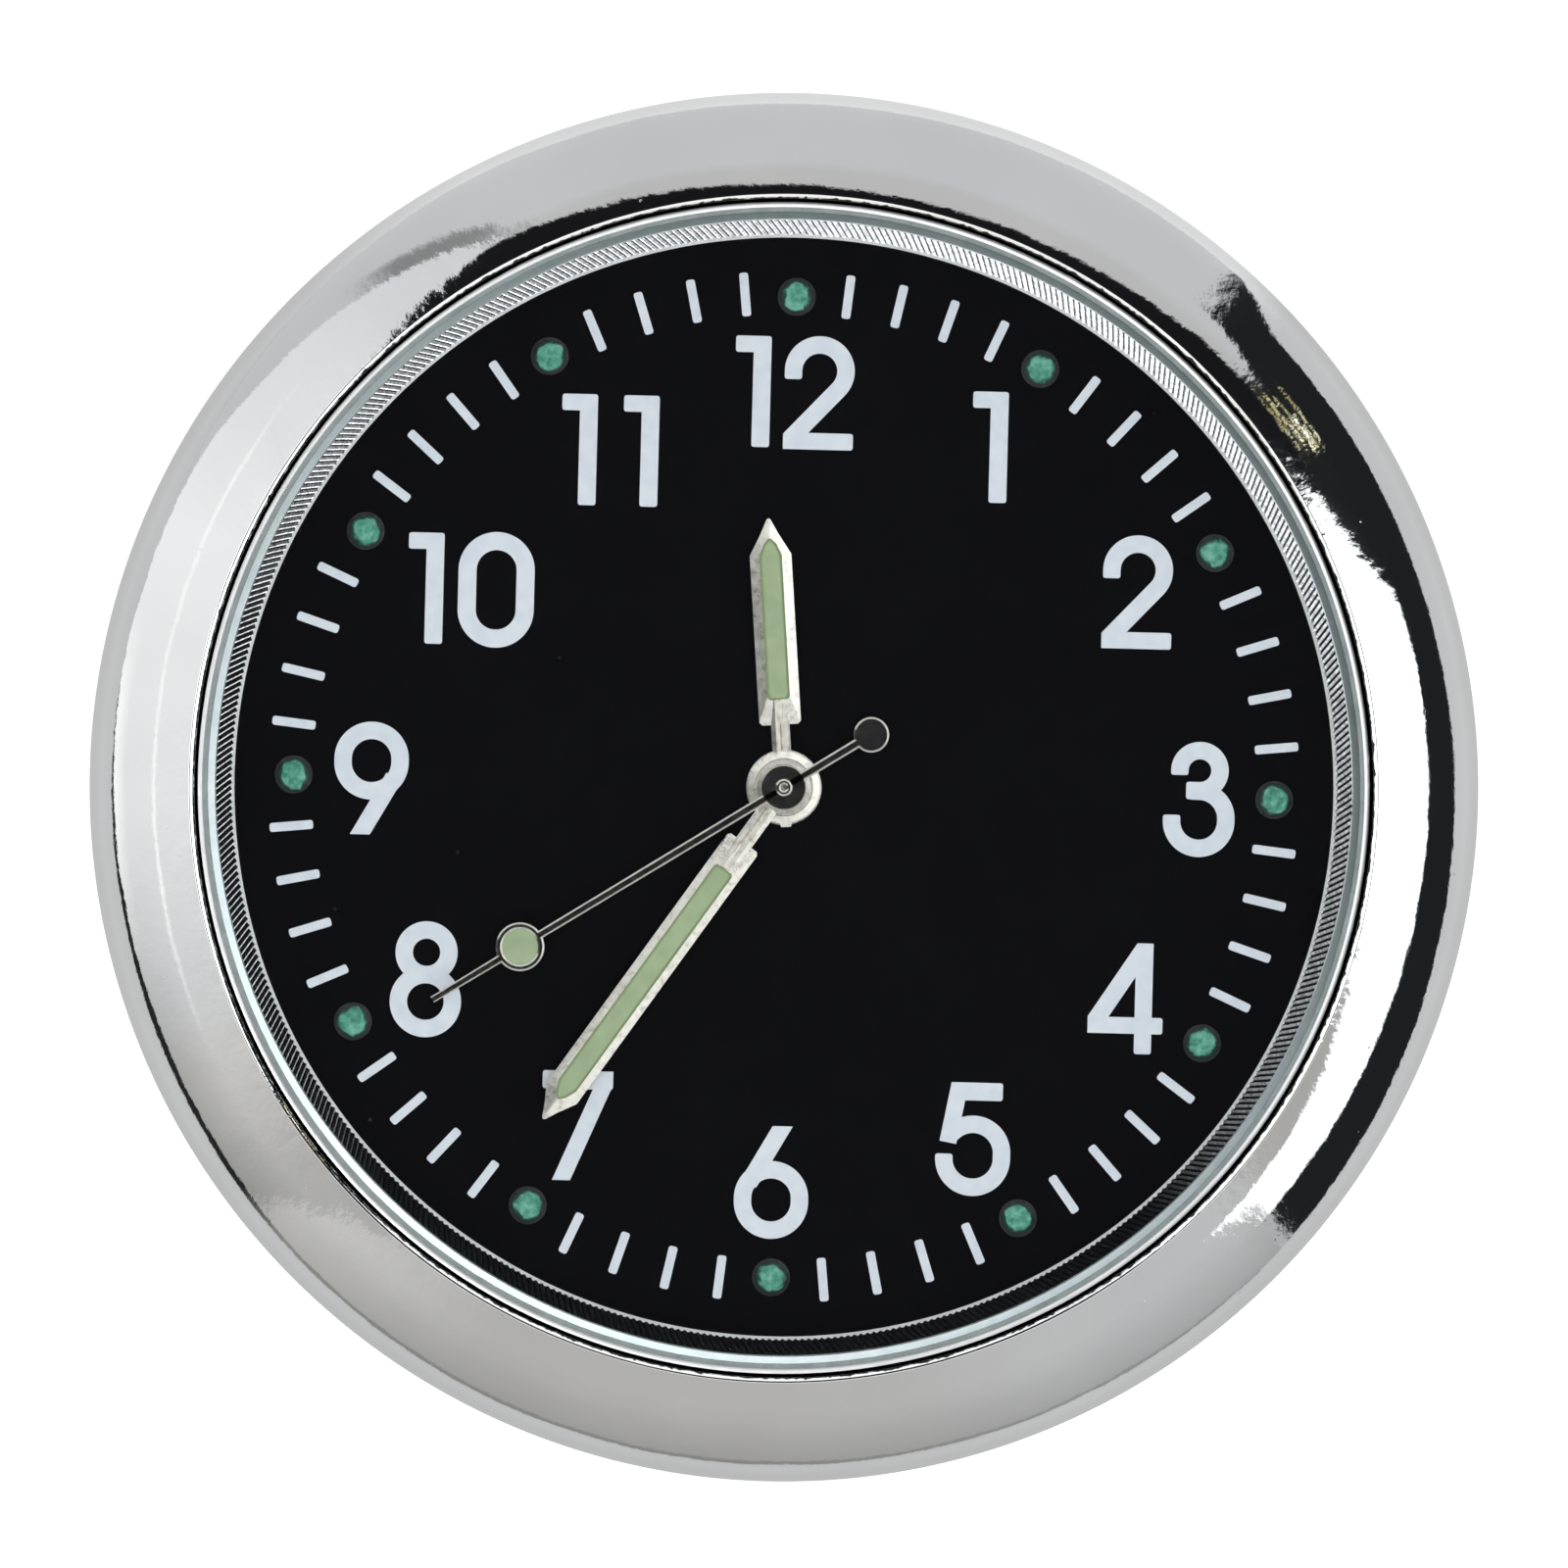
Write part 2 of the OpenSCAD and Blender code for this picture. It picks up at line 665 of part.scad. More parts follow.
// main plate: rim under the dial, pillars, stem bearing, wheel and lever studs
module main_plate() {
    color([0.75, 0.6, 0.3])
        upright()
            difference() {
                union() {
                    disc(movement_r, plate_z0, plate_z1);
                    ring(movement_r, movement_r - plate_rim_w, plate_z0, dial_z0);
                    for (p = pillars)
                        translate(p)
                            disc(pillar_r, bridge_z1, plate_z0 + cut);
                    for (p = coil_ends)
                        translate(p)
                            disc(pillar_r, core_z1, plate_z0 + cut);
                    translate([boss_x0, -boss_w / 2, stem_z - boss_w / 2])
                        cube([boss_l, boss_w, plate_z0 + cut - stem_z + boss_w / 2]);
                    translate(motion_p)
                        disc(arbor_r + run_gap + run_gap, plate_z0, hour_wheel_z1 + end_gap);
                    translate([lever_x, -lever_arm])
                        disc(lever_pivot_r, lever_z0 - end_gap, plate_z0 + cut);
                }
                disc(cannon_r + run_gap, plate_z0 - cut, plate_z1 + cut);
                for (p = [third_p, inter_p, rotor_p])
                    translate(p)
                        disc(hole_r, plate_z0 - cut, plate_z1 + cut);
                for (p = pillars)
                    translate(p)
                        disc(screw_r, bridge_z1 - cut, bridge_z1 + screw_in);
                for (p = coil_ends)
                    translate(p)
                        disc(screw_r, core_z1 - cut, core_z1 + screw_in);
                for (s = [0, 180])
                    rotate([0, 0, dial_foot_a + s])
                        translate([dial_foot_c, 0])
                            disc(dial_foot_r, dial_z0 - dial_foot_h, dial_z0 + cut);
                rod(stem_r + run_gap, boss_x0 - cut, boss_x0 + boss_l + cut);
            }
}

// bridge that carries the rear pivots of the train
module train_bridge() {
    stops = [[pillars[1], third_p], [pillars[2], third_p], [third_p, [0, 0]], [[0, 0], inter_p],
        [pillars[3], inter_p], [pillars[0], rotor_p], [inter_p, rotor_p]];
    color([0.8, 0.7, 0.4])
        upright()
            difference() {
                translate([0, 0, bridge_z0])
                    linear_extrude(height = bridge_t)
                        union() {
                            for (s = stops)
                                bar(s[0], s[1], bridge_arm_w);
                            for (p = concat(pillars, [third_p, [0, 0], inter_p, rotor_p]))
                                translate(p)
                                    circle(r = bridge_arm_w / 2);
                        }
                disc(second_arbor_r + run_gap, bridge_z0 - cut, bridge_z1 + cut);
                for (p = [third_p, inter_p, rotor_p])
                    translate(p)
                        disc(hole_r, bridge_z0 - cut, bridge_z1 + cut);
                for (p = pillars)
                    translate(p)
                        disc(screw_r, bridge_z0 - cut, bridge_z1 + cut);
            }
}

// four bridge screws and two coil screws
module bridge_screws() {
    color([0.6, 0.62, 0.7])
        upright()
            union() {
                for (p = pillars)
                    translate(p) {
                        disc(screw_head_r, bridge_z0 - screw_head_h, bridge_z0);
                        disc(screw_r, bridge_z0 - cut, bridge_z1 + screw_in);
                    }
                for (p = coil_ends)
                    translate(p) {
                        disc(screw_head_r, stator_z0 - screw_head_h, stator_z0);
                        disc(screw_r, stator_z0 - cut, core_z1 + screw_in);
                    }
            }
}

// soft iron stator: ring round the rotor and two legs to the coil core
module stator() {
    color([0.55, 0.55, 0.58])
        upright()
            difference() {
                translate([0, 0, stator_z0])
                    linear_extrude(height = iron_t)
                        union() {
                            translate(rotor_p)
                                circle(r = stator_ring_r);
                            for (p = coil_ends) {
                                bar([p.x, rotor_p.y - stator_w / 2], p, stator_w);
                                bar([p.x, rotor_p.y - stator_w / 2], [rotor_p.x, rotor_p.y - stator_w / 2],
                                    stator_w);
                                translate([p.x, rotor_p.y - stator_w / 2])
                                    circle(r = stator_w / 2);
                                translate(p)
                                    circle(r = stator_w / 2);
                            }
                        }
                translate(rotor_p)
                    disc(magnet_r + magnet_gap, stator_z0 - cut, stator_z1 + cut);
                for (p = coil_ends)
                    translate(p)
                        disc(screw_r, stator_z0 - cut, stator_z1 + cut);
            }
}

// iron core bar through the winding
module coil_core() {
    color([0.5, 0.5, 0.52])
        upright()
            difference() {
                translate([0, 0, stator_z1])
                    linear_extrude(height = iron_t)
                        union() {
                            bar(coil_ends[0], coil_ends[1], stator_w);
                            for (p = coil_ends)
                                translate(p)
                                    circle(r = stator_w / 2);
                        }
                for (p = coil_ends)
                    translate(p)
                        disc(screw_r, stator_z1 - cut, core_z1 + cut);
            }
}

// copper winding on the core
module coil_winding() {
    color([0.7, 0.35, 0.15])
        upright()
            difference() {
                translate([-coil_len / 2, -coil_y, coil_z])
                    rotate([0, 90, 0])
                        cylinder(r = coil_r, h = coil_len);
                translate([-coil_len, -coil_y - stator_w / 2, stator_z1])
                    cube([2 * coil_len, stator_w, iron_t]);
            }
}

// circuit board under the main plate
module circuit_board() {
    color([0.1, 0.35, 0.2])
        upright()
            translate([board_x, board_y, plate_z0 - board_t])
                cube([board_w, board_h, board_t]);
}

// resin cover of the timing chip
module timing_chip() {
    z1 = plate_z0 - board_t;
    color([0.08, 0.08, 0.08])
        upright()
            translate([board_x + board_margin + chip_r, board_y + board_h / 2])
                disc(chip_r, z1 - chip_h, z1);
}

// quartz crystal in its can, with two leads down to the board
module quartz_can() {
    z1 = plate_z0 - board_t;
    x = board_x + board_w - board_margin - can_r;
    color([0.75, 0.75, 0.75])
        upright()
            union() {
                translate([x, board_y + board_margin, z1 - can_r])
                    rotate([-90, 0, 0])
                        cylinder(r = can_r, h = can_len);
                for (s = [-1, 1])
                    translate([x + s * can_r / 2, board_y + board_h / 2])
                        disc(lead_r, z1 - can_r, z1);
            }
}

// button cell
module battery_cell() {
    color([0.7, 0.7, 0.72])
        upright()
            translate([-battery_x, battery_y])
                union() {
                    disc(battery_r, strap_z1, plate_z0 - battery_cap_h);
                    disc(battery_cap_r, strap_z1, plate_z0);
                }
}

// spring strap from a bridge pillar to the battery
module battery_strap() {
    p = pillars[3];
    q = [-battery_x, battery_y];
    color([0.75, 0.73, 0.65])
        upright()
            difference() {
                union() {
                    translate([0, 0, strap_z0])
                        linear_extrude(height = strap_t)
                            union() {
                                bar(p, q, strap_w);
                                translate(q)
                                    circle(r = strap_w);
                                translate(p)
                                    circle(r = bridge_arm_w / 2);
                            }
                    translate(p)
                        disc(bridge_arm_w / 2, strap_z0, bridge_z0);
                }
                translate(p)
                    disc(screw_head_r, strap_z0 - cut, bridge_z0 + cut);
            }
}

// two-pole magnet on the rotor arbor
module rotor_magnet() {
    color([0.3, 0.3, 0.32])
        upright()
            translate(rotor_p)
                ring(magnet_r, arbor_r, stator_z0, stator_z1);
}

// rotor arbor and pinion
module rotor_pinion() {
    at = mesh_at(inter_wheel_teeth, 0, rotor_teeth, rotor_a);
    color([0.9, 0.9, 0.85])
        upright()
            translate(rotor_p)
                union() {
                    disc(arbor_r, bridge_z0 + end_gap, plate_z1 - end_gap);
                    gear(rotor_teeth, rotor_module, at, stator_z1 + end_gap, inter_z0 + wheel_t + end_gap);
                }
}

// intermediate wheel between rotor and second wheel
module intermediate_wheel() {
    at = mesh_at(second_wheel_teeth, 0, inter_pinion_teeth, inter_a);
    color([0.85, 0.72, 0.35])
        upright()
            translate(inter_p)
                union() {
                    disc(arbor_r, bridge_z0 + end_gap, plate_z1 - end_gap);
                    gear(inter_pinion_teeth, inter_module, at, second_z0 - end_gap, inter_z0);
                    gear(inter_wheel_teeth, rotor_module, 0, inter_z0, inter_z0 + wheel_t);
                }
}

// second wheel, its pinion and the long arbor that carries the second hand
module second_wheel() {
    rim = second_wheel_teeth * inter_module / 2;
    color([0.85, 0.72, 0.35])
        upright()
            union() {
                disc(second_arbor_r, bridge_z0 + end_gap, second_tube_z1 - second_eye_h);
                difference() {
                    gear(second_wheel_teeth, inter_module, 0, second_z0, second_z1);
                    wheel_cuts(rim, second_z0, second_z1);
                }
                gear(second_pinion_teeth, train_module, 0, second_z1 - end_gap, centre_z0 - 4 * end_gap);
            }
}

// third wheel and pinion
module third_wheel() {
    at = mesh_at(second_pinion_teeth, 0, third_wheel_teeth, third_a);
    rim = third_wheel_teeth * train_module / 2;
    color([0.85, 0.72, 0.35])
        upright()
            translate(third_p)
                union() {
                    disc(arbor_r, bridge_z0 + end_gap, plate_z1 - end_gap);
                    difference() {
                        gear(third_wheel_teeth, train_module, at, third_z0, third_z1);
                        wheel_cuts(rim, third_z0, third_z1);
                    }
                    gear(third_pinion_teeth, centre_module, 0, third_z1 - end_gap, centre_z1 + end_gap);
                }
}

// centre wheel, pressed on the cannon pinion
module centre_wheel() {
    at = mesh_at(third_pinion_teeth, 0, centre_wheel_teeth, third_a + 180);
    rim = centre_wheel_teeth * centre_module / 2;
    color([0.85, 0.72, 0.35])
        upright()
            difference() {
                gear(centre_wheel_teeth, centre_module, at, centre_z0, centre_z1);
                wheel_cuts(rim, centre_z0, centre_z1);
                disc(cannon_r, centre_z0 - cut, centre_z1 + cut);
            }
}

// cannon pinion: tube through the main plate with the minute hand on its end
module cannon_pinion() {
    color([0.8, 0.8, 0.78])
        upright()
            difference() {
                union() {
                    disc(cannon_r, centre_z0 - end_gap, minute_z + hand_t);
                    gear(cannon_teeth, motion_module, 0, plate_z1 + end_gap, hour_wheel_z0 - end_gap);
                }
                disc(cannon_in_r, 0, crest_z);
            }
}

// minute wheel and pinion on their stud
module minute_wheel() {
    at = mesh_at(cannon_teeth, 0, minute_wheel_teeth, minute_wheel_a);
    hub_r = minute_pinion_teeth * hour_module / 2 - dedendum * hour_module;
    color([0.9, 0.88, 0.8])
        upright()
            translate(motion_p)
                difference() {
                    union() {
                        disc(hub_r, plate_z1 + end_gap, hour_wheel_z1 + end_gap);
                        gear(minute_wheel_teeth, motion_module, at, minute_wheel_z0, minute_wheel_z1);
                        gear(minute_pinion_teeth, hour_module, 0, minute_wheel_z1 - end_gap,
                            hour_wheel_z1 + end_gap);
                    }
                    disc(arbor_r + 3 * run_gap, plate_z1, dial_z0);
                }
}

// hour wheel and its tube, with the hour hand on the end
module hour_wheel() {
    at = mesh_at(minute_pinion_teeth, 0, hour_wheel_teeth, minute_wheel_a + 180);
    color([0.85, 0.72, 0.35])
        upright()
            difference() {
                union() {
                    gear(hour_wheel_teeth, hour_module, at, hour_wheel_z0, hour_wheel_z1);
                    disc(hour_tube_r, hour_wheel_z0, hour_z + hand_t);
                }
                disc(hour_tube_in_r, hour_wheel_z0 - cut, hour_z + hand_t + cut);
            }
}

// thin washer between hour wheel and dial
module dial_washer() {
    color([0.8, 0.65, 0.3])
        upright()
            ring(2 * dial_hole_r, dial_hole_r, hour_wheel_z1 + end_gap, dial_z0);
}

// tube pressed through the cup for the stem
module crown_tube() {
    color([0.75, 0.75, 0.75])
        upright()
            difference() {
                rod(tube_r, holder_r, rear_r + crown_tube_out);
                rod(stem_r + run_gap, 0, case_r);
            }
}

// stem: square end, groove for the setting lever, round shank
module stem() {
    x1 = stem_x0 + stem_square_l;
    g0 = lever_x - stem_groove_w / 2;
    color([0.72, 0.72, 0.74])
        upright()
            union() {
                translate([stem_x0, -stem_square / 2, stem_z - stem_square / 2])
                    cube([stem_square_l + cut, stem_square, stem_square]);
                rod(stem_r, x1, g0);
                rod(stem_groove_r, g0 - cut, g0 + stem_groove_w + cut);
                rod(stem_r, g0 + stem_groove_w, crown_x0 + crown_t / 2);
            }
}

// fluted crown
module crown() {
    m = 2 * crown_r / (crown_flutes + 2 * addendum);
    color([0.8, 0.8, 0.8])
        upright()
            difference() {
                translate([crown_x0, 0, stem_z])
                    rotate([0, 90, 0])
                        gear(crown_flutes, m, 0, 0, crown_t);
                rod(stem_r, crown_x0 - cut, crown_x0 + crown_t / 2);
                rod(crown_dimple_r, crown_x0 + crown_t - crown_dimple_h, case_r);
            }
}

// sliding pinion on the square end of the stem
module sliding_pinion() {
    side = stem_square + 2 * run_gap;
    g0 = clutch_x0 + clutch_l / 2;
    g1 = g0 + clutch_groove_w;
    color([0.78, 0.78, 0.8])
        upright()
            difference() {
                union() {
                    rod(clutch_groove_r, clutch_x0, clutch_x0 + clutch_l);
                    translate([clutch_x0, 0, stem_z])
                        rotate([0, 90, 0])
                            gear(clutch_teeth, clutch_module, 0, 0, g0 - clutch_x0);
                    translate([g1, 0, stem_z])
                        rotate([0, 90, 0])
                            gear(clutch_teeth, clutch_module, 0, 0, clutch_x0 + clutch_l - g1);
                }
                translate([clutch_x0 - cut, -side / 2, stem_z - side / 2])
                    cube([clutch_l + 2 * cut, side, side]);
            }
}

// setting lever: its pin rides in the stem groove
module setting_lever() {
    color([0.7, 0.7, 0.72])
        upright()
            translate([lever_x, 0])
                difference() {
                    union() {
                        translate([0, 0, lever_z0])
                            linear_extrude(height = lever_t)
                                union() {
                                    bar([0, -lever_arm], [0, 0], lever_w);
                                    translate([0, -lever_arm])
                                        circle(r = lever_w / 2 + run_gap);
                                    circle(r = lever_w / 2);
                                }
                        disc(lever_pin_r, stem_z + stem_groove_r + run_gap, lever_z1);
                    }
                    translate([0, -lever_arm])
                        disc(lever_pivot_r + run_gap, lever_z0 - cut, lever_z1 + cut);
                }
}

// dial with its two feet
module dial_plate() {
    color([0.05, 0.05, 0.06])
        upright()
            difference() {
                union() {
                    disc(cup_r - dial_gap, dial_z0, dial_z1);
                    for (s = [0, 180])
                        rotate([0, 0, dial_foot_a + s])
                            translate([dial_foot_c, 0])
                                disc(dial_foot_r, dial_z0 - dial_foot_h, dial_z0 + cut);
                }
                disc(dial_hole_r, dial_z0 - cut, dial_z1 + cut);
            }
}

// twelve raised dots of glow paint
module lume_dots() {
    color([0.3, 0.62, 0.5])
        upright()
            for (i = [0 : dot_count - 1])
                rotate([0, 0, i * 360 / dot_count])
                    translate([dot_ring_r, 0, dial_z1])
                        rotate_extrude()
                            polygon([[0, 0], [dot_r, 0], [dot_r, dot_edge_h], [dot_top_r, dot_h],
                                [0, dot_h]]);
}

// sloping reflector ring with its polished ledge
module reflector_ring() {
    wall_r = dial_view_r + ledge_w;
    color([0.8, 0.8, 0.8])
        upright()
            rotate_extrude()
                polygon([[dial_view_r, dial_z1], [cup_r, dial_z1], [cup_r, crystal_z0],
                    [wall_r + reflector_slope, crystal_z0], [wall_r, dial_z1 + ledge_h],
                    [dial_view_r, dial_z1 + ledge_h]]);
}

// gasket round the glass
module crystal_gasket() {
    color([0.75, 0.78, 0.76])
        upright()
            ring(seat_r, crystal_r, crystal_z0, crystal_z1 - end_gap);
}

// flat glass with a ground chamfer
module crystal() {
    color([0.8, 0.9, 0.88, 0.3])
        upright()
            rotate_extrude()
                polygon([[0, crystal_z0], [crystal_r, crystal_z0], [crystal_r, crystal_z1 - crystal_chamfer],
                    [crystal_r - crystal_chamfer, crystal_z1], [0, crystal_z1]]);
}

// pointed blade outline from one radius to another
module blade(w, r0, r1, tip) {
    polygon([[-w / 2, r0], [w / 2, r0], [w / 2, r1 - tip], [0, r1], [-w / 2, r1 - tip]]);
}

// roof section along a hand: thin at both edges, full thickness at the slot
module roof(w, slot_w, z, length) {
    translate([0, length, z])
        rotate([90, 0, 0])
            linear_extrude(height = 2 * length)
                polygon([[-w / 2, 0], [w / 2, 0], [w / 2, hand_edge_t], [slot_w / 2, hand_t],
                    [-slot_w / 2, hand_t], [-w / 2, hand_edge_t]]);
}

// hour hand: hub on the hour tube, neck, bevelled blade with a slot
module hour_hand() {
    color([0.85, 0.84, 0.8])
        upright()
            rotate([0, 0, -hour_angle])
                difference() {
                    union() {
                        intersection() {
                            translate([0, 0, hour_z])
                                linear_extrude(height = hand_t)
                                    union() {
                                        blade(hour_w, hour_blade_r, hour_len, hour_tip);
                                        translate([-neck_w / 2, -hour_tail])
                                            square([neck_w, hour_tail + hour_blade_r + cut]);
                                    }
                            roof(hour_w, hour_slot_w, hour_z, hour_len + cut);
                        }
                        disc(hour_hub_r, hour_z - hub_drop, hour_z + hand_t);
                    }
                    translate([0, 0, hour_z - cut])
                        linear_extrude(height = hand_t + 2 * cut)
                            blade(hour_slot_w, hour_slot_r0, hour_slot_r1, hour_slot_tip);
                    disc(hour_tube_r, hour_z - hub_drop - cut, hour_z + hand_t + cut);
                }
}

// glow paint in the hour hand
module hour_hand_lume() {
    color([0.64, 0.73, 0.56])
        upright()
            rotate([0, 0, -hour_angle])
                translate([0, 0, hour_z])
                    linear_extrude(height = hand_t - lume_low)
                        blade(hour_slot_w, hour_slot_r0, hour_slot_r1, hour_slot_tip);
}

// minute hand: hub on the cannon pinion, neck, bevelled blade with a slot
module minute_hand() {
    color([0.85, 0.84, 0.8])
        upright()
            rotate([0, 0, -minute_angle])
                difference() {
                    union() {
                        intersection() {
                            translate([0, 0, minute_z])
                                linear_extrude(height = hand_t)
                                    union() {
                                        blade(minute_w, minute_blade_r, minute_len, minute_tip);
                                        translate([-neck_w / 2, 0])
                                            square([neck_w, minute_blade_r + cut]);
                                    }
                            roof(minute_w, minute_slot_w, minute_z, minute_len + cut);
                        }
                        disc(minute_hub_r, minute_z - hub_drop, minute_z + hand_t);
                    }
                    translate([0, 0, minute_z - cut])
                        linear_extrude(height = hand_t + 2 * cut)
                            blade(minute_slot_w, minute_slot_r0, minute_slot_r1, minute_slot_tip);
                    disc(cannon_r, minute_z - hub_drop - cut, minute_z + hand_t + cut);
                }
}

// glow paint in the minute hand
module minute_hand_lume() {
    color([0.64, 0.73, 0.56])
        upright()
            rotate([0, 0, -minute_angle])
                translate([0, 0, minute_z])
                    linear_extrude(height = hand_t - lume_low)
                        blade(minute_slot_w, minute_slot_r0, minute_slot_r1, minute_slot_tip);
}

// second hand: arm with lume ring and counterweight, hub and tube on the second arbor
module second_hand() {
    color([0.6, 0.6, 0.6])
        upright()
            rotate([0, 0, -second_angle])
                difference() {
                    union() {
                        translate([0, 0, second_hand_z])
                            linear_extrude(height = second_t)
                                union() {
                                    polygon([[-second_w / 2, -second_tail], [second_w / 2, -second_tail],
                                        [second_tip_w / 2, second_len], [-second_tip_w / 2, second_len]]);
                                    translate([0, second_ring_r])
                                        circle(r = second_ring_d / 2);
                                    translate([0, -second_tail])
                                        circle(r = second_tail_d / 2);
                                    circle(r = second_hub_r);
                                }
                        disc(second_tube_r, second_hand_z - hub_drop, second_tube_z1);
                    }
                    translate([0, second_ring_r])
                        disc(second_disc_d / 2, second_hand_z - cut, second_hand_z + second_t + cut);
                    disc(second_arbor_r, second_hand_z - hub_drop - cut, second_tube_z1 - second_eye_h);
                    disc(second_eye_r, second_hand_z, second_tube_z1 + cut);
                }
}

// glow paint in the second hand
module second_hand_lume() {
    color([0.64, 0.73, 0.56])
        upright()
            rotate([0, 0, -second_angle])
                translate([0, second_ring_r])
                    disc(second_disc_d / 2, second_hand_z, second_hand_z + second_t - lume_low);
}

bezel_case();
adhesive_pad();
insert_cup();
grip_ring();
back_cover();
back_gasket();
movement_holder();
main_plate();
train_bridge();
bridge_screws();
stator();
coil_core();
coil_winding();
circuit_board();
timing_chip();
quartz_can();
battery_cell();
battery_strap();
rotor_magnet();
rotor_pinion();
intermediate_wheel();
second_wheel();
third_wheel();
centre_wheel();
cannon_pinion();
minute_wheel();
hour_wheel();
dial_washer();
crown_tube();
stem();
crown();
sliding_pinion();
setting_lever();
dial_plate();
lume_dots();
reflector_ring();
crystal_gasket();
crystal();
hour_hand();
hour_hand_lume();
minute_hand();
minute_hand_lume();
second_hand();
second_hand_lume();
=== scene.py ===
import math

import bmesh
import bpy
from mathutils import Matrix, Quaternion, Vector


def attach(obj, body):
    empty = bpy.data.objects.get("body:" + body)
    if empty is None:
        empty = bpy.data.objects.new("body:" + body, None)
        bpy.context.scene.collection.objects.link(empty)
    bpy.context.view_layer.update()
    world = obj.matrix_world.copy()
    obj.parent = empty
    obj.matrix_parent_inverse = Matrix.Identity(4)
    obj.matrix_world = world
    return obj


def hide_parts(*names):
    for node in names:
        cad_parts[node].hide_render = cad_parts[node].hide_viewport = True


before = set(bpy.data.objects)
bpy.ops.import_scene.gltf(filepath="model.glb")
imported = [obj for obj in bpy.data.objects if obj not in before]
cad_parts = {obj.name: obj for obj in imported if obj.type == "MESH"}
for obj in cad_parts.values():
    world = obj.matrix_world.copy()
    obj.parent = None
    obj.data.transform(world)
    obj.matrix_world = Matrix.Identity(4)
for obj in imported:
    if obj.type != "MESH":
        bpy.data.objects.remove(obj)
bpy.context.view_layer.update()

# Adhesive pad: a die-cut disc of black closed-cell foam with sticky film on both faces.
# Its cut edge bulges a little where the foam was squeezed on to the case back.

MM = 0.001


def finish(name, colour, roughness, metallic=0.0, **sockets):
    """A material with one Principled shader and its plain settings."""
    mat = bpy.data.materials.new(name)
    mat.use_nodes = True
    shader = mat.node_tree.nodes["Principled BSDF"]
    shader.inputs["Base Color"].default_value = (*colour, 1)
    shader.inputs["Roughness"].default_value = roughness
    shader.inputs["Metallic"].default_value = metallic
    for socket, value in sockets.items():
        shader.inputs[socket.replace("_", " ")].default_value = value
    return mat


def wire(mat, kind, inputs=None, **settings):
    """One node; an input is a plain value, or the socket that feeds it."""
    made = mat.node_tree.nodes.new(kind)
    for setting, value in settings.items():
        setattr(made, setting, value)
    for socket, value in (inputs or {}).items():
        if isinstance(value, bpy.types.NodeSocket):
            mat.node_tree.links.new(value, made.inputs[socket])
        else:
            made.inputs[socket].default_value = value
    return made


def feed(mat, socket, source):
    """Link a node output to the material's shader."""
    mat.node_tree.links.new(source, mat.node_tree.nodes["Principled BSDF"].inputs[socket])


def place(mat, stretch=(1, 1, 1)):
    """Object coordinates in millimetres, stretched where a finish has a direction."""
    spot = wire(mat, "ShaderNodeTexCoord").outputs["Object"]
    scale = [s / MM for s in stretch]
    return wire(mat, "ShaderNodeMapping", {"Vector": spot, "Scale": scale}).outputs["Vector"]


def grain(mat, spot, size, detail=3.0):
    """Noise whose lumps are about size millimetres across."""
    noise = {"Vector": spot, "Scale": 1 / size, "Detail": detail}
    return wire(mat, "ShaderNodeTexNoise", noise).outputs["Fac"]


def spread(mat, fac, lo, hi, low=0.3, high=0.7):
    """A grey value turned into a range of numbers."""
    sockets = {"Value": fac, "From Min": low, "From Max": high, "To Min": lo, "To Max": hi}
    return wire(mat, "ShaderNodeMapRange", sockets).outputs["Result"]


def tones(mat, fac, *stops):
    """A grey value turned into colours: each stop is a position and a colour."""
    ramp = wire(mat, "ShaderNodeValToRGB", {"Fac": fac})
    band = ramp.color_ramp
    band.elements[0].position, band.elements[1].position = stops[0][0], stops[-1][0]
    band.elements[0].color, band.elements[1].color = (*stops[0][1], 1), (*stops[-1][1], 1)
    for where, colour in stops[1:-1]:
        band.elements.new(where).color = (*colour, 1)
    return ramp.outputs["Color"]


def relief(mat, fac, height, below=None):
    """Bump of the given height in millimetres, on top of another if there is one."""
    sockets = {"Height": fac, "Distance": height * MM, "Strength": 1.0}
    if below:
        sockets["Normal"] = below
    return wire(mat, "ShaderNodeBump", sockets).outputs["Normal"]


def points_of(geom):
    """The vertices among what an operator made."""
    return [part for part in geom if isinstance(part, bmesh.types.BMVert)]


def turned(start, moves, steps=240):
    """A piece turned about the clock's axis: its section is drawn in radius and height above the
    back, with straight moves (radius, height) and arcs (centre radius, centre height, degrees)."""
    bm = bmesh.new()
    tip = bm.verts.new((start[0] * MM, -start[1] * MM, 0))
    for move in moves:
        if len(move) == 2:
            tip = bmesh.ops.extrude_vert_indiv(bm, verts=[tip])["verts"][0]
            tip.co = (move[0] * MM, -move[1] * MM, 0)
        else:
            arc = bmesh.ops.spin(bm, geom=[tip], cent=(move[0] * MM, -move[1] * MM, 0), axis=(0, 0, 1),
                                 angle=-math.radians(move[2]), steps=max(4, round(abs(move[2]) / 5)))
            tip = points_of(arc["geom_last"])[0]
    bmesh.ops.spin(bm, geom=bm.verts[:] + bm.edges[:], cent=(0, 0, 0), axis=(0, 1, 0),
                   angle=math.tau, steps=steps, use_merge=True)
    return bm


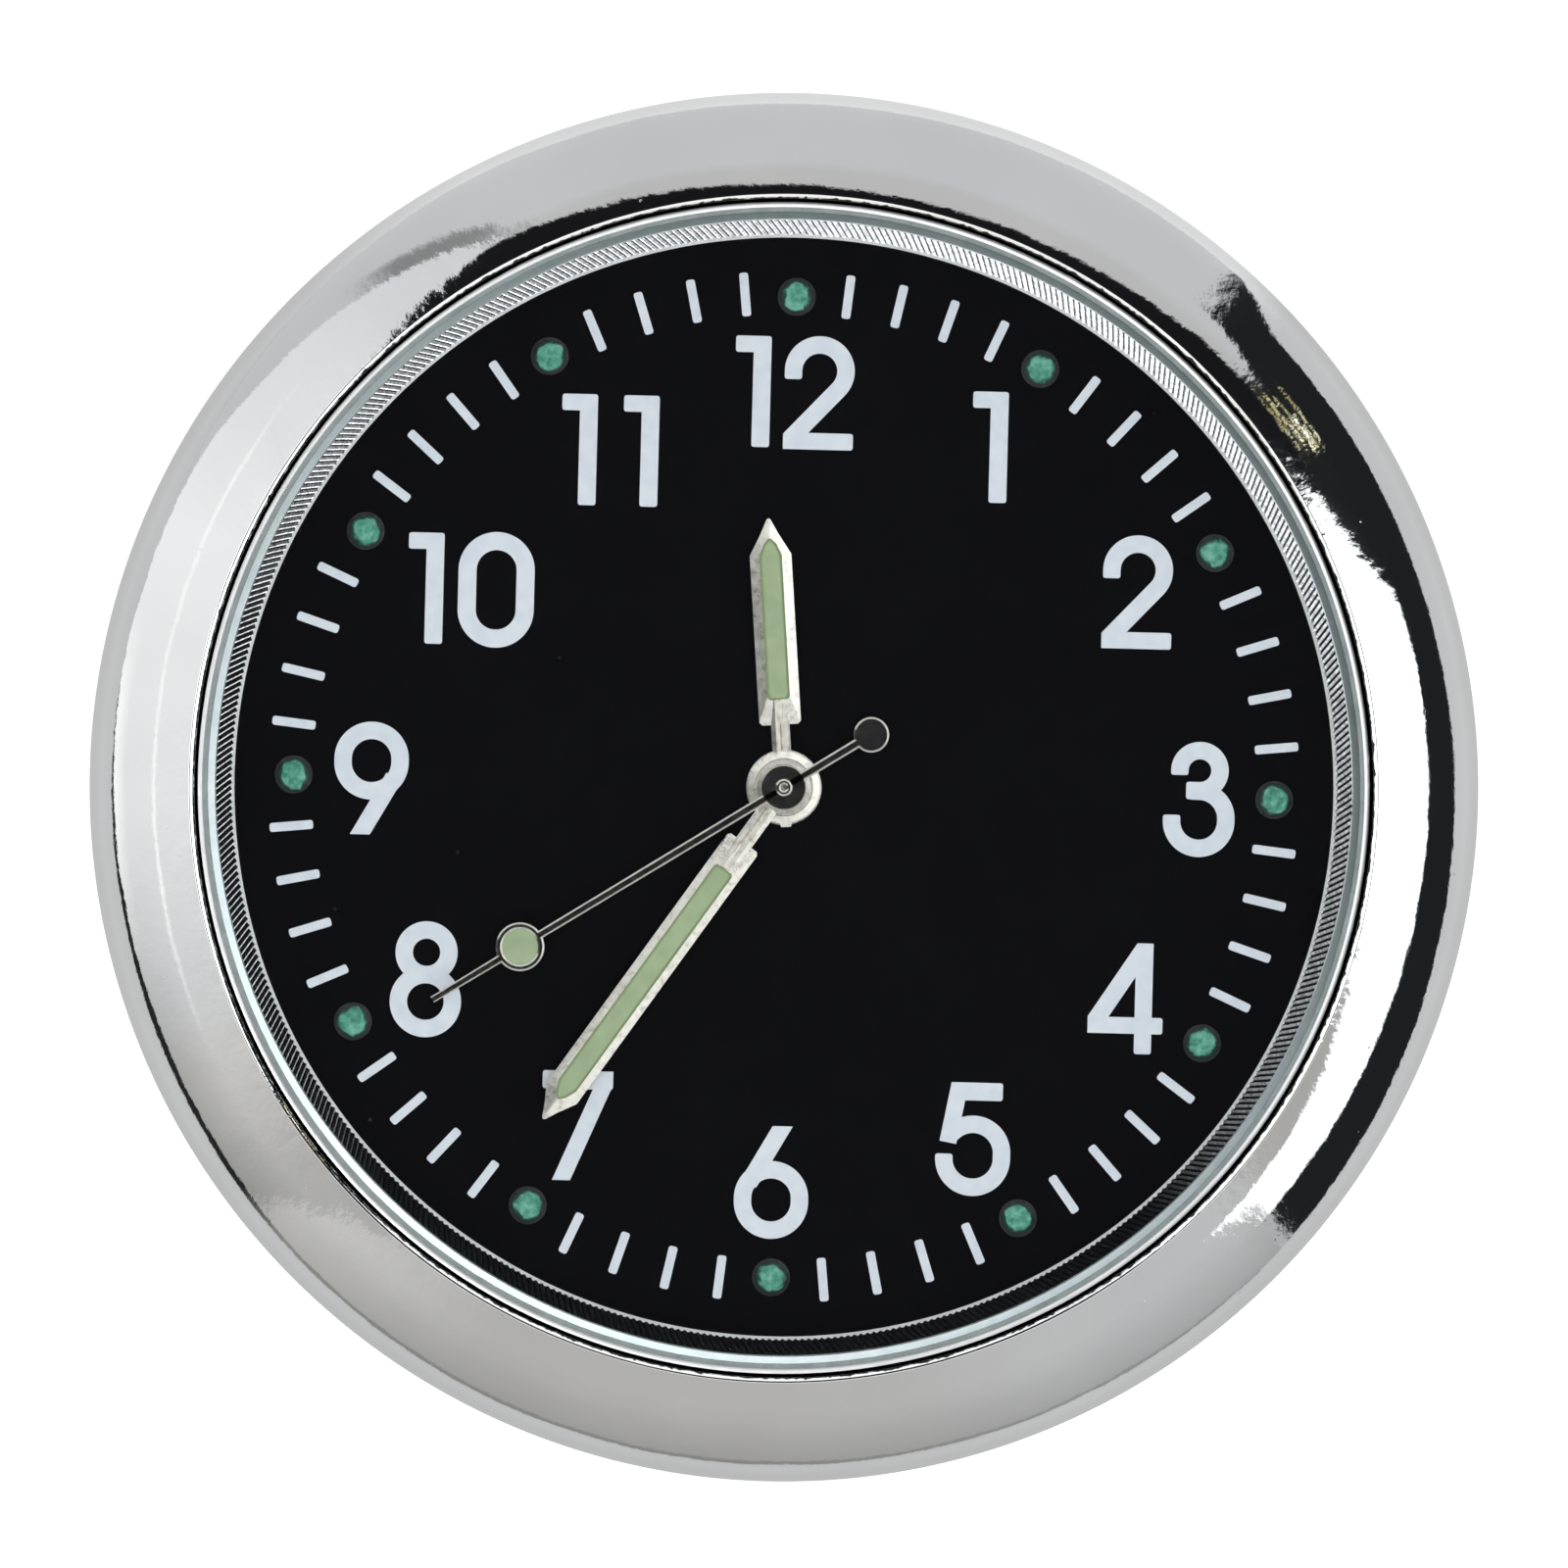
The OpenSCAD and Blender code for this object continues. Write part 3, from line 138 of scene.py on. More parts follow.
def piece(name, bm, body, mat, stands_for=(), crease=35):
    """Close a mesh, shade it smooth between its creases, and put it on its body."""
    bmesh.ops.remove_doubles(bm, verts=bm.verts[:], dist=2e-7)
    bmesh.ops.recalc_face_normals(bm, faces=bm.faces[:])
    mesh = bpy.data.meshes.new(name)
    bm.to_mesh(mesh)
    bm.free()
    mesh.shade_smooth()
    mesh.set_sharp_from_angle(angle=math.radians(crease))
    mesh.materials.append(mat)
    made = bpy.data.objects.new(name, mesh)
    bpy.context.scene.collection.objects.link(made)
    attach(made, body)
    if stands_for:
        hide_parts(*stands_for)
    return made


def scuff(mat, size, smooth, rough):
    """Roughness that drifts in patches of about size millimetres."""
    feed(mat, "Roughness", spread(mat, grain(mat, place(mat), size), smooth, rough))


foam = finish("foam", (0.018, 0.018, 0.019), 0.85)
CELL = 0.16
cells = wire(foam, "ShaderNodeTexVoronoi", {"Vector": place(foam), "Scale": 1 / CELL}).outputs["Distance"]
feed(foam, "Base Color", tones(foam, cells, (0.0, (0.006, 0.006, 0.007)), (0.55, (0.03, 0.03, 0.031))))
scuff(foam, 0.8, 0.62, 0.9)
feed(foam, "Normal", relief(foam, cells, 0.05))
PAD_T = 1.0
pad = turned((0, 0), [
    (18.2, 0), (18.34, 0.06), (18.46, 0.3), (18.5, 0.5), (18.46, 0.75), (18.36, PAD_T), (0, PAD_T)])
piece("foam_pad", pad, "case", foam, ["adhesive_pad"])

# Chrome case: one zinc casting with a rounded bezel and a closed back, polished and plated.
# The plating follows the polish, so its mirror has a faint orange peel and a few tiny pits.
# Painted shade: a frayed near-black line just inside the lip, and the bore and floor past it, stand in for
# the shade of the gap; painted highlight: the lip's inner half is coloured brighter.

CASE_R, DOME_R, BORE_R, LIP_ROUND, CREST = 21.0, 3.6, 17.68, 0.14, 12.3
FLANK, CASE_FLOOR = 1.6, 2.2
lip_r, lip_z, dome_mid = BORE_R + LIP_ROUND, CREST - LIP_ROUND, CASE_R - DOME_R
dome_z = lip_z - math.sqrt((DOME_R - LIP_ROUND) ** 2 - (lip_r - dome_mid) ** 2)
dome_sweep = 90 - math.degrees(math.asin((lip_r - dome_mid) / (DOME_R - LIP_ROUND)))

chrome = finish("chrome", (0.45, 0.454, 0.458), 0.04, 1.0)
spot = place(chrome)
peel = relief(chrome, grain(chrome, spot, 1.6, 2.0), 0.016)
peel = relief(chrome, grain(chrome, spot, 0.22, 3.0), 0.003, peel)
PITS_APART = 0.9
pits = wire(chrome, "ShaderNodeTexVoronoi", {"Vector": spot, "Scale": 1 / PITS_APART}).outputs["Distance"]
pit = spread(chrome, pits, 1.0, 0.0, 0.02, 0.05)
feed(chrome, "Normal", relief(chrome, pit, 0.004, peel))
scuff(chrome, 2.5, 0.03, 0.055)


def reckon(mat, operation, *terms):
    """A sum or product on the way to a pattern."""
    return wire(mat, "ShaderNodeMath", dict(enumerate(terms)), operation=operation).outputs[0]


def mixed(mat, fac, a, b):
    """Two colours mixed by a pattern; each is a socket or a plain colour."""
    node = wire(mat, "ShaderNodeMix", data_type="RGBA")
    for socket, value in ((0, fac), (6, a), (7, b)):
        if isinstance(value, bpy.types.NodeSocket):
            mat.node_tree.links.new(value, node.inputs[socket])
        else:
            node.inputs[socket].default_value = (*value, 1)
    return node.outputs[2]


flat = place(chrome, (1, 0, 1))
radius = wire(chrome, "ShaderNodeVectorMath", {0: flat}, operation="LENGTH").outputs["Value"]
FRAY = 0.06
fray = spread(chrome, grain(chrome, spot, 0.25, 5.0), -FRAY, FRAY, 0.25, 0.75)
frayed = reckon(chrome, "ADD", radius, fray)
# Painted shade: near-black base colour inside a frayed radius just past the bore, for the dark of the gap
# round the insert.
bore_shade = spread(chrome, frayed, 1.0, 0.0, BORE_R + 0.025, BORE_R + 0.045)
plate = tones(chrome, grain(chrome, spot, 6.0), (0.3, (0.434, 0.438, 0.442)), (0.7, (0.466, 0.47, 0.474)))
# Painted highlight: inside the crest, the lip's inner half gets a base colour about twice as bright as the
# rest of the chrome.
lip_highlight_mask = spread(chrome, radius, 0.0, 1.0, lip_r + 0.04, lip_r)
plate_and_lip_highlight = mixed(chrome, lip_highlight_mask, plate, (0.94, 0.945, 0.95))
feed(chrome, "Base Color", mixed(chrome, bore_shade, plate_and_lip_highlight, (0.04, 0.04, 0.04)))

case = turned((0, PAD_T), [
    (19.1, PAD_T), (19.6, 1.5), (CASE_R, dome_z - FLANK), (CASE_R, dome_z),
    (dome_mid, dome_z, dome_sweep), (lip_r, lip_z, 180 - dome_sweep),
    (BORE_R, CASE_FLOOR), (0, CASE_FLOOR)], steps=360)
piece("chrome_case", case, "case", chrome, ["bezel_case"])

# Insert cup: a thin steel cup that holds the clock, bright-plated like the case.
# Its rim is rolled round over the glass gasket; the crown tube goes through its narrow rear.


def dress(mat, *nodes):
    """Give a CAD node's own solid its finish."""
    for node in nodes:
        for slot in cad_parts[node].material_slots:
            slot.material = mat


def mottle(mat, size, dark, light):
    """Colour that drifts between two tones in patches of about size millimetres."""
    feed(mat, "Base Color", tones(mat, grain(mat, place(mat), size), (0.3, dark), (0.7, light)))


def pebble(mat, size, height):
    """Fine grain of a surface: lumps of a size and a height in millimetres."""
    feed(mat, "Normal", relief(mat, grain(mat, place(mat), size), height))


cup_steel = finish("cup_steel", (0.68, 0.68, 0.68), 0.18, 1.0)
drawn = grain(cup_steel, place(cup_steel, (0.15, 6, 0.15)), 0.25, 2.0)
feed(cup_steel, "Roughness", spread(cup_steel, drawn, 0.12, 0.28))
feed(cup_steel, "Normal", relief(cup_steel, drawn, 0.002))
mottle(cup_steel, 1.5, (0.6, 0.6, 0.61), (0.63, 0.63, 0.635))
dress(cup_steel, "insert_cup", "back_cover", "crown_tube")

rolled = finish("rolled_steel", (0.9, 0.91, 0.92), 0.35, 0.15)
mottle(rolled, 0.5, (0.84, 0.85, 0.86), (0.93, 0.94, 0.95))
scuff(rolled, 0.3, 0.3, 0.45)
pebble(rolled, 0.15, 0.002)
RIM_IN, RIM_OUT, RIM_FOOT, RIM_ROUND_Z = 17.45, 17.61, 11.0, 11.34
rim = turned((RIM_IN, RIM_FOOT), [
    (RIM_IN, RIM_ROUND_Z), ((RIM_IN + RIM_OUT) / 2, RIM_ROUND_Z, -180), (RIM_OUT, RIM_FOOT),
    (RIM_IN, RIM_FOOT)])
rim_roll = piece("cup_rim_roll", rim, "insert", rolled)

# Rubber pieces: the finned grip ring pressed on the cup's skirt, and the flat gasket in the back.
# Both are moulded black rubber, dull, with the bloom and fine mould grain of soft rubber.

rubber = finish("black_rubber", (0.02, 0.02, 0.02), 0.7)
bloom = grain(rubber, place(rubber), 0.9)
feed(rubber, "Base Color", tones(rubber, bloom, (0.3, (0.012, 0.012, 0.012)), (0.75, (0.04, 0.04, 0.042))))
feed(rubber, "Roughness", spread(rubber, bloom, 0.55, 0.8))
pebble(rubber, 0.08, 0.006)
dress(rubber, "grip_ring", "back_gasket")

# Movement frame: plastic holder ring, brass main plate and train bridge, steel screws.
# The plates are stamped and fine-brushed; the holder is moulded off-white plastic.

holder_plastic = finish("holder_plastic", (0.78, 0.77, 0.73), 0.45)
mottle(holder_plastic, 2.0, (0.7, 0.69, 0.65), (0.8, 0.79, 0.75))
scuff(holder_plastic, 0.2, 0.38, 0.55)
pebble(holder_plastic, 0.12, 0.003)
dress(holder_plastic, "movement_holder")

brass = finish("brass", (0.72, 0.53, 0.24), 0.3, 1.0)
brushed = grain(brass, place(brass, (8, 1, 0.4)), 0.5)
mottle(brass, 1.2, (0.62, 0.44, 0.18), (0.78, 0.59, 0.29))
feed(brass, "Roughness", spread(brass, brushed, 0.22, 0.4))
feed(brass, "Normal", relief(brass, brushed, 0.002))
dress(brass, "main_plate", "train_bridge", "intermediate_wheel", "third_wheel",
      "centre_wheel", "minute_wheel", "hour_wheel", "dial_washer")

steel = finish("steel", (0.6, 0.6, 0.61), 0.25, 1.0)
mottle(steel, 0.8, (0.5, 0.5, 0.52), (0.66, 0.66, 0.66))
scuff(steel, 0.15, 0.18, 0.36)
pebble(steel, 0.06, 0.0015)
dress(steel, "bridge_screws", "rotor_pinion", "second_wheel", "cannon_pinion", "stem", "crown",
      "sliding_pinion", "setting_lever", "quartz_can", "battery_cell", "battery_strap")

# Stepping motor: soft iron stator and core, a sintered magnet, and enamelled copper wire.
# The wire lies in close turns along the core, so its finish is ribbed across the core.

iron = finish("soft_iron", (0.4, 0.4, 0.42), 0.4, 1.0)
mottle(iron, 0.6, (0.3, 0.3, 0.32), (0.46, 0.46, 0.48))
scuff(iron, 0.2, 0.3, 0.55)
pebble(iron, 0.08, 0.002)
dress(iron, "stator", "coil_core", "rotor_magnet")

copper = finish("copper_wire", (0.55, 0.22, 0.08), 0.28, 0.9, Coat_Weight=0.6)
wound = {"Vector": place(copper), "Scale": 3.2, "Distortion": 0.6, "Detail": 1.0}
turns = wire(copper, "ShaderNodeTexWave", wound, bands_direction="X").outputs["Fac"]
feed(copper, "Base Color", tones(copper, turns, (0.1, (0.2, 0.07, 0.03)), (0.8, (0.6, 0.25, 0.09))))
feed(copper, "Normal", relief(copper, turns, 0.03))
dress(copper, "coil_winding")

# Electronics: green glass-fibre board and the black resin drop that covers the timing chip.
# The weave of the board shows through its lacquer; the resin is glossy with flow marks.

board = finish("circuit_board", (0.03, 0.14, 0.07), 0.35)
weave = wire(board, "ShaderNodeTexChecker", {
    "Vector": place(board), "Scale": 3.0, "Color1": (0.02, 0.12, 0.05, 1), "Color2": (0.04, 0.17, 0.09, 1)})
feed(board, "Base Color", weave.outputs["Color"])
scuff(board, 0.4, 0.28, 0.45)
feed(board, "Normal", relief(board, weave.outputs["Fac"], 0.004))
dress(board, "circuit_board")

resin = finish("black_resin", (0.01, 0.01, 0.01), 0.2)
flow = grain(resin, place(resin), 0.7)
feed(resin, "Base Color", tones(resin, flow, (0.3, (0.006, 0.006, 0.006)), (0.7, (0.02, 0.02, 0.022))))
feed(resin, "Roughness", spread(resin, flow, 0.14, 0.32))
feed(resin, "Normal", relief(resin, flow, 0.02))
dress(resin, "timing_chip")

# Dial: a brass disc lacquered black, semi-gloss, with a little dust on it after years behind glass.
# Minute marks and hour numbers are pad-printed in bluish white ink that stands a hair proud.

lacquer = finish("dial_lacquer", (0.003, 0.003, 0.004), 0.16, Specular_IOR_Level=0.1)
DUST_APART = 2.6
specks = {"Vector": place(lacquer), "Scale": 1 / DUST_APART}
dust = wire(lacquer, "ShaderNodeTexVoronoi", specks).outputs["Distance"]
feed(lacquer, "Base Color", tones(
    lacquer, dust, (0.0, (0.06, 0.06, 0.06)), (0.016, (0.02, 0.02, 0.02)),
    (0.03, (0.0025, 0.0025, 0.003)), (1.0, (0.003, 0.003, 0.004))))
scuff(lacquer, 0.5, 0.12, 0.2)
pebble(lacquer, 0.25, 0.0005)
dress(lacquer, "dial_plate")

ink = finish("white_ink", (0.7, 0.74, 0.8), 0.5)
inked = grain(ink, place(ink), 0.35)
feed(ink, "Base Color", tones(ink, inked, (0.25, (0.64, 0.7, 0.79)), (0.75, (0.76, 0.8, 0.86))))
scuff(ink, 0.1, 0.4, 0.6)
pebble(ink, 0.07, 0.003)

DIAL_Z, INK_T = 7.8, 0.014
INK_UNIT = 0.02964
STROKE, CORNER = 17.8, 2.6


def lines_of(geom):
    """The edges among what an operator made."""
    return [part for part in geom if isinstance(part, bmesh.types.BMEdge)]


def stroke(start, heading, moves, width=STROKE, soft=(True, True)):
    """One stroke of a printed figure: from a point, with a heading in degrees, it goes straight
    (length) or turns (radius, degrees to the right). Its free corners are softened."""
    bm = bmesh.new()
    turn = math.radians(heading)
    ahead = Vector((math.cos(turn), math.sin(turn), 0))
    at = Vector((*start, 0))
    side = Vector((-ahead.y, ahead.x, 0)) * width / 2
    first = [bm.verts.new(at + side), bm.verts.new(at - side)]
    edge = bm.edges.new(first)
    for move in moves:
        if isinstance(move, tuple):
            radius, bend = move
            right = Vector((ahead.y, -ahead.x, 0))
            centre = at + right * math.copysign(radius, bend)
            arc = bmesh.ops.spin(bm, geom=[edge, *edge.verts], cent=centre, axis=(0, 0, 1),
                                 angle=-math.radians(bend), steps=max(3, round(abs(bend) / 5)))
            edge = lines_of(arc["geom_last"])[0]
            swing = Matrix.Rotation(-math.radians(bend), 3, "Z")
            at = centre + swing @ (at - centre)
            ahead = swing @ ahead
        else:
            grown = bmesh.ops.extrude_edge_only(bm, edges=[edge])["geom"]
            edge = lines_of(grown)[0]
            bmesh.ops.translate(bm, verts=edge.verts[:], vec=ahead * move)
            at = at + ahead * move
    corners = (first if soft[0] else []) + (list(edge.verts) if soft[1] else [])
    if corners:
        bmesh.ops.bevel(bm, geom=corners, offset=CORNER, affect="VERTICES", segments=3,
                        profile=0.5, material=-1)
    bmesh.ops.remove_doubles(bm, verts=bm.verts[:], dist=0.02)
    return bm


def trim(bm, right_of=None, left_of=None, above=None, below=None):
    """Cut a stroke along upright or level lines."""
    cuts = ((right_of, (-1, 0, 0)), (left_of, (1, 0, 0)), (above, (0, -1, 0)), (below, (0, 1, 0)))
    for limit, outward in cuts:
        if limit is not None:
            point = (limit, limit, 0)
            bmesh.ops.bisect_plane(bm, geom=bm.verts[:] + bm.edges[:] + bm.faces[:], dist=0.001,
                                   plane_co=point, plane_no=outward, clear_outer=True)
    return bm


SQUARE_ENDS = (False, False)


def figure_0():
    """Two half turns joined by straight sides."""
    return [stroke((-29.65, 0), 90, [20.2, (29.65, 180), 40.4, (29.65, 180), 20.2], 18.5, SQUARE_ENDS)]


def figure_1():
    """A stem with a flag."""
    return [stroke((9.1, -56.7), 90, [113.4], 18.2), stroke((-18.2, 48.3), 0, [27], 16.8)]


def figure_2():
    """A swan neck on a foot."""
    swan = stroke((-26.8, 13.6), 90, [8.7, (26.8, 223), 90], soft=(True, False))
    return [trim(swan, right_of=-35.7, above=-58), stroke((-35.8, -49.5), 0, [71.4], 17)]


def figure_3():
    """An upper and a lower bowl."""
    return [stroke((-20.5, 24.8), 90, [4.9, (20.5, 270), 13.6]),
            stroke((-8, 8.7), 0, [8, (27.7, 90), 3, (27.7, 180), 6], soft=(False, True))]


def figure_4():
    """A slope, a bar and a stem."""
    slope = stroke((-49, -51.8), 57.1, [140], soft=SQUARE_ENDS)
    return [trim(slope, right_of=-38.4, left_of=27, above=-36, below=56.6),
            stroke((-38.3, -27.6), 0, [76.5], 16.8), stroke((18.2, -56.6), 90, [113.3], 17.6)]


def figure_5():
    """A roof, a leaning stem and a bowl."""
    stem = stroke((-11.4, 75), 259.7, [80], 17.3, SQUARE_ENDS)
    return [stroke((-16.2, 48.8), 0, [45.4], 18.3, (False, True)), trim(stem, below=57.9),
            stroke((-29.45, -15.25), 270, [4.35, (29.45, -180), 5.5, (29.45, -140)], soft=(True, False))]


def figure_6():
    """A slope into a closed bowl."""
    slope = stroke((18, 71.5), 240.5, [84], soft=SQUARE_ENDS)
    return [trim(slope, below=57.6),
            stroke((-29.1, -17.95), 90, [1.8, (29.1, 180), 3.6, (29.1, 180), 1.8], soft=SQUARE_ENDS)]


def figure_7():
    """A slope under a roof."""
    slope = stroke((-24.4, -79), 67.1, [150], 17, SQUARE_ENDS)
    return [trim(slope, left_of=36, above=-56, below=56), stroke((-36, 46.65), 0, [72], 18.7)]


def figure_8():
    """Two rings, the lower one larger."""
    return [stroke((-22.85, 28.1), 90, [(22.85, 360)], soft=SQUARE_ENDS),
            stroke((-27.6, -22.2), 90, [(27.6, 360)], soft=SQUARE_ENDS)]


def turn_all(bm, degrees, axis):
    """Turn all that is drawn so far about an axis through the middle."""
    spin = Matrix.Rotation(math.radians(degrees), 3, axis)
    bmesh.ops.rotate(bm, verts=bm.verts[:], cent=(0, 0, 0), matrix=spin)


def figure_9():
    """The six turned round."""
    strokes = figure_6()
    for bm in strokes:
        turn_all(bm, 180, "Z")
    return strokes


def gather(bm, part, shift=(0, 0, 0)):
    """Move a part's mesh into a larger one."""
    bmesh.ops.translate(part, verts=part.verts[:], vec=shift)
    carrier = bpy.data.meshes.new("carrier")
    part.to_mesh(carrier)
    part.free()
    bm.from_mesh(carrier)
    bpy.data.meshes.remove(carrier)


def thicken(bm, depth):
    """Give flat shapes a depth upwards."""
    for face in bm.faces:
        face.normal_update()
        if face.normal.z > 0:
            face.normal_flip()
    top = bmesh.ops.extrude_face_region(bm, geom=bm.faces[:], use_keep_orig=True)["geom"]
    bmesh.ops.translate(bm, verts=points_of(top), vec=(0, 0, depth))
    bmesh.ops.recalc_face_normals(bm, faces=bm.faces[:])


def join_solids(layers):
    """One solid from layers of overlapping strokes."""
    solids = []
    for bm in layers:
        solid = bpy.data.objects.new("layer", bpy.data.meshes.new("layer"))
        bm.to_mesh(solid.data)
        bm.free()
        bpy.context.scene.collection.objects.link(solid)
        solids.append(solid)
    for other in solids[1:]:
        union = solids[0].modifiers.new("union", "BOOLEAN")
        union.operation, union.solver, union.object = "UNION", "EXACT", other
    joined = bmesh.new()
    made = solids[0].evaluated_get(bpy.context.evaluated_depsgraph_get())
    joined.from_mesh(made.to_mesh())
    made.to_mesh_clear()
    for solid in solids:
        bpy.data.meshes.remove(solid.data)
    return joined


def lay_ink(name, bm):
    """Lay on the dial what is drawn in ink units, face to the front."""
    bmesh.ops.scale(bm, verts=bm.verts[:], vec=(INK_UNIT * MM,) * 3)
    turn_all(bm, 90, "X")
    bmesh.ops.translate(bm, verts=bm.verts[:], vec=(0, -DIAL_Z * MM, 0))
    piece(name, bm, "insert", ink)


# Each hour: the middle of its number, and its figures with their shift, in ink units.
hours = [
    (0.7, 403.4, [(figure_1, -43.2), (figure_2, 24.8)]), (201.1, 352.6, [(figure_1, 0)]),
    (355.9, 208.6, [(figure_2, 0)]), (424.4, -1.7, [(figure_3, 0)]), (354.8, -206.6, [(figure_4, 0)]),
    (202.6, -354.6, [(figure_5, 0)]), (-2.2, -404.0, [(figure_6, 0)]), (-202.6, -351.2, [(figure_7, 0)]),
    (-360.5, -206.3, [(figure_8, 0)]), (-421.8, -1.8, [(figure_9, 0)]),
    (-324.9, 193.8, [(figure_1, -46.3), (figure_0, 25.8)]),
    (-186.7, 339.4, [(figure_1, -31.5), (figure_1, 31.5)])]
layers = [bmesh.new(), bmesh.new(), bmesh.new()]
for x, y, figures in hours:
    for draw, shift in figures:
        for layer, part in zip(layers, draw()):
            gather(layer, part, (x + shift, y, 0))
for layer in layers:
    thicken(layer, INK_T / INK_UNIT)
lay_ink("hour_numbers", join_solids(layers))


def repeat(bm, degrees, count, axis):
    """Copy all that is drawn so far round an axis through the middle."""
    bmesh.ops.spin(bm, geom=bm.verts[:] + bm.edges[:] + bm.faces[:], cent=(0, 0, 0), axis=axis,
                   angle=math.radians(degrees), steps=count, use_duplicate=True)


MARK_FOOT, MARK_LONG, MARK_WIDE = 482.5, 44.5, 9.2
marks = stroke((0, MARK_FOOT), 90, [MARK_LONG], MARK_WIDE)
thicken(marks, INK_T / INK_UNIT)
turn_all(marks, -6, "Z")
repeat(marks, -18, 3, (0, 0, 1))
repeat(marks, -330, 11, (0, 0, 1))
lay_ink("minute_marks", marks)

# Hour dots: glow paint set in drops by hand, so each is a lumpy green grain in a clear skin.
# The clear varnish spreads past the pigment and dries as a dark ring with a thin pale edge.

glow_dot = finish("glow_dot", (0.07, 0.28, 0.2), 0.5)
spot = place(glow_dot)
lumps = grain(glow_dot, spot, 0.2, 4.0)
across = wire(glow_dot, "ShaderNodeUVMap").outputs["UV"]
from_middle = wire(glow_dot, "ShaderNodeVectorMath", {0: across}, operation="LENGTH").outputs["Value"]
fray = spread(glow_dot, grain(glow_dot, spot, 0.3, 4.0), -0.11, 0.11, 0.2, 0.8)
frayed = reckon(glow_dot, "ADD", from_middle, fray)
pigment = tones(
    glow_dot, lumps, (0.32, (0.033, 0.19, 0.14)), (0.5, (0.092, 0.34, 0.25)), (0.68, (0.195, 0.475, 0.375)))
skin = tones(
    glow_dot, from_middle, (0.36, (0.008, 0.045, 0.034)), (0.45, (0.008, 0.03, 0.024)),
    (0.49, (0.006, 0.009, 0.009)), (0.54, (0.018, 0.019, 0.02)), (0.575, (0.008, 0.008, 0.009)))
feed(glow_dot, "Base Color", mixed(glow_dot, spread(glow_dot, frayed, 0.0, 1.0, 0.43, 0.36), skin, pigment))
feed(glow_dot, "Roughness", spread(glow_dot, lumps, 0.35, 0.65))
feed(glow_dot, "Normal", relief(glow_dot, lumps, 0.06))

DOT_R = 14.85
dome = [(0.575, 0), (0.57, 0.02), (0.52, 0.03), (0.47, 0.045), (0.42, 0.085), (0.35, 0.115), (0.25, 0.13),
        (0.12, 0.138), (0, 0.14)]
dots = turned((0, DIAL_Z), [(r, DIAL_Z + high) for r, high in dome], steps=28)
middle_map = dots.loops.layers.uv.new("from_middle")
for face in dots.faces:
    for corner in face.loops:
        corner[middle_map].uv = (corner.vert.co.x / MM, corner.vert.co.z / MM)
bmesh.ops.translate(dots, verts=dots.verts[:], vec=(0, 0, DOT_R * MM))
repeat(dots, 330, 11, (0, 1, 0))
piece("hour_dots", dots, "insert", glow_dot, ["lume_dots"], crease=60)

# Hour and minute hands: stamped brass, bevelled to both sides and silver-plated to a soft satin.
# The slots are filled from behind with pale green glow paste that dries a little hollow; its sunk edge is
# darkened with painted shade.

satin = finish("satin_silver", (0.86, 0.83, 0.77), 0.32, 1.0)
feed(satin, "Base Color", tones(
    satin, grain(satin, place(satin), 0.2, 5.0),
    (0.3, (0.5, 0.47, 0.43)), (0.42, (0.72, 0.69, 0.64)), (0.7, (0.84, 0.82, 0.77))))
scuff(satin, 0.3, 0.24, 0.4)
pebble(satin, 0.09, 0.007)

glow_paste = finish("glow_paste", (0.36, 0.48, 0.27), 0.6)
drying = grain(glow_paste, place(glow_paste), 0.5)
dried = tones(glow_paste, drying, (0.3, (0.31, 0.395, 0.243)), (0.7, (0.37, 0.46, 0.283)))
# Painted shade: the paste is coloured darker towards its sunk edge in the slot.
at_edge = wire(glow_paste, "ShaderNodeAttribute", attribute_name="paste_edge_shade").outputs["Fac"]
painted_edge_shade = spread(glow_paste, at_edge, 0.0, 1.0, 0.2, 1.0)
feed(glow_paste, "Base Color", mixed(glow_paste, painted_edge_shade, dried, (0.23, 0.31, 0.15)))
scuff(glow_paste, 0.1, 0.5, 0.7)
pebble(glow_paste, 0.06, 0.004)


def loop(bm, points):
    """A closed outline of edges through a few points."""
    verts = [bm.verts.new(p) for p in points]
    return [bm.edges.new((verts[i - 1], verts[i])) for i in range(len(verts))]


def drop_walls(bm, edges, depth):
    """Walls down from an outline; gives back the outline of their feet."""
    grown = bmesh.ops.extrude_edge_only(bm, edges=edges)["geom"]
    bmesh.ops.translate(bm, verts=points_of(grown), vec=(0, 0, -depth))
    return lines_of(grown)


def hang(bm, angle, height):
    """Scale a hand drawn in millimetres pointing to 12, turn it to its angle, stand it over the dial."""
    bmesh.ops.scale(bm, verts=bm.verts[:], vec=(MM, MM, MM))
    turn_all(bm, -angle, "Z")
    turn_all(bm, 90, "X")
    bmesh.ops.translate(bm, verts=bm.verts[:], vec=(0, -height * MM, 0))


def lathe(bm, section, steps, closed=False):
    """Turn a section, drawn in radius and height, about the middle of a hand."""
    verts = [bm.verts.new((r, 0, z)) for r, z in section]
    edges = [bm.edges.new(pair) for pair in zip(verts, verts[1:])]
    if closed:
        edges.append(bm.edges.new((verts[-1], verts[0])))
    bmesh.ops.spin(bm, geom=verts + edges, cent=(0, 0, 0), axis=(0, 0, 1),
                   angle=math.tau, steps=steps, use_merge=True)


def collar(bm, outer, inner, low, high, soften, slope=None, steps=64):
    """A round collar with softened upper edges, or with its top sloping out from a radius."""
    drop = 0.58 * soften
    top = [(outer, high - drop), (outer - soften, high), (inner + soften, high), (inner, high - drop)]
    if slope:
        top = [(outer, high - 0.09), (outer - 0.05, high - 0.05), (slope, high), (slope - 0.02, high - 0.03),
               (inner + soften, high - 0.03), (inner, high - 0.05)]
    lathe(bm, [(inner, low), (outer, low)] + top, steps, closed=True)


HAND_T, HAND_EDGE = 0.16, 0.07


def both_sides(half):
    """A closed outline from its right half, which starts and ends on the middle line."""
    return half + [(-x, y) for x, y in half[-2:0:-1]]


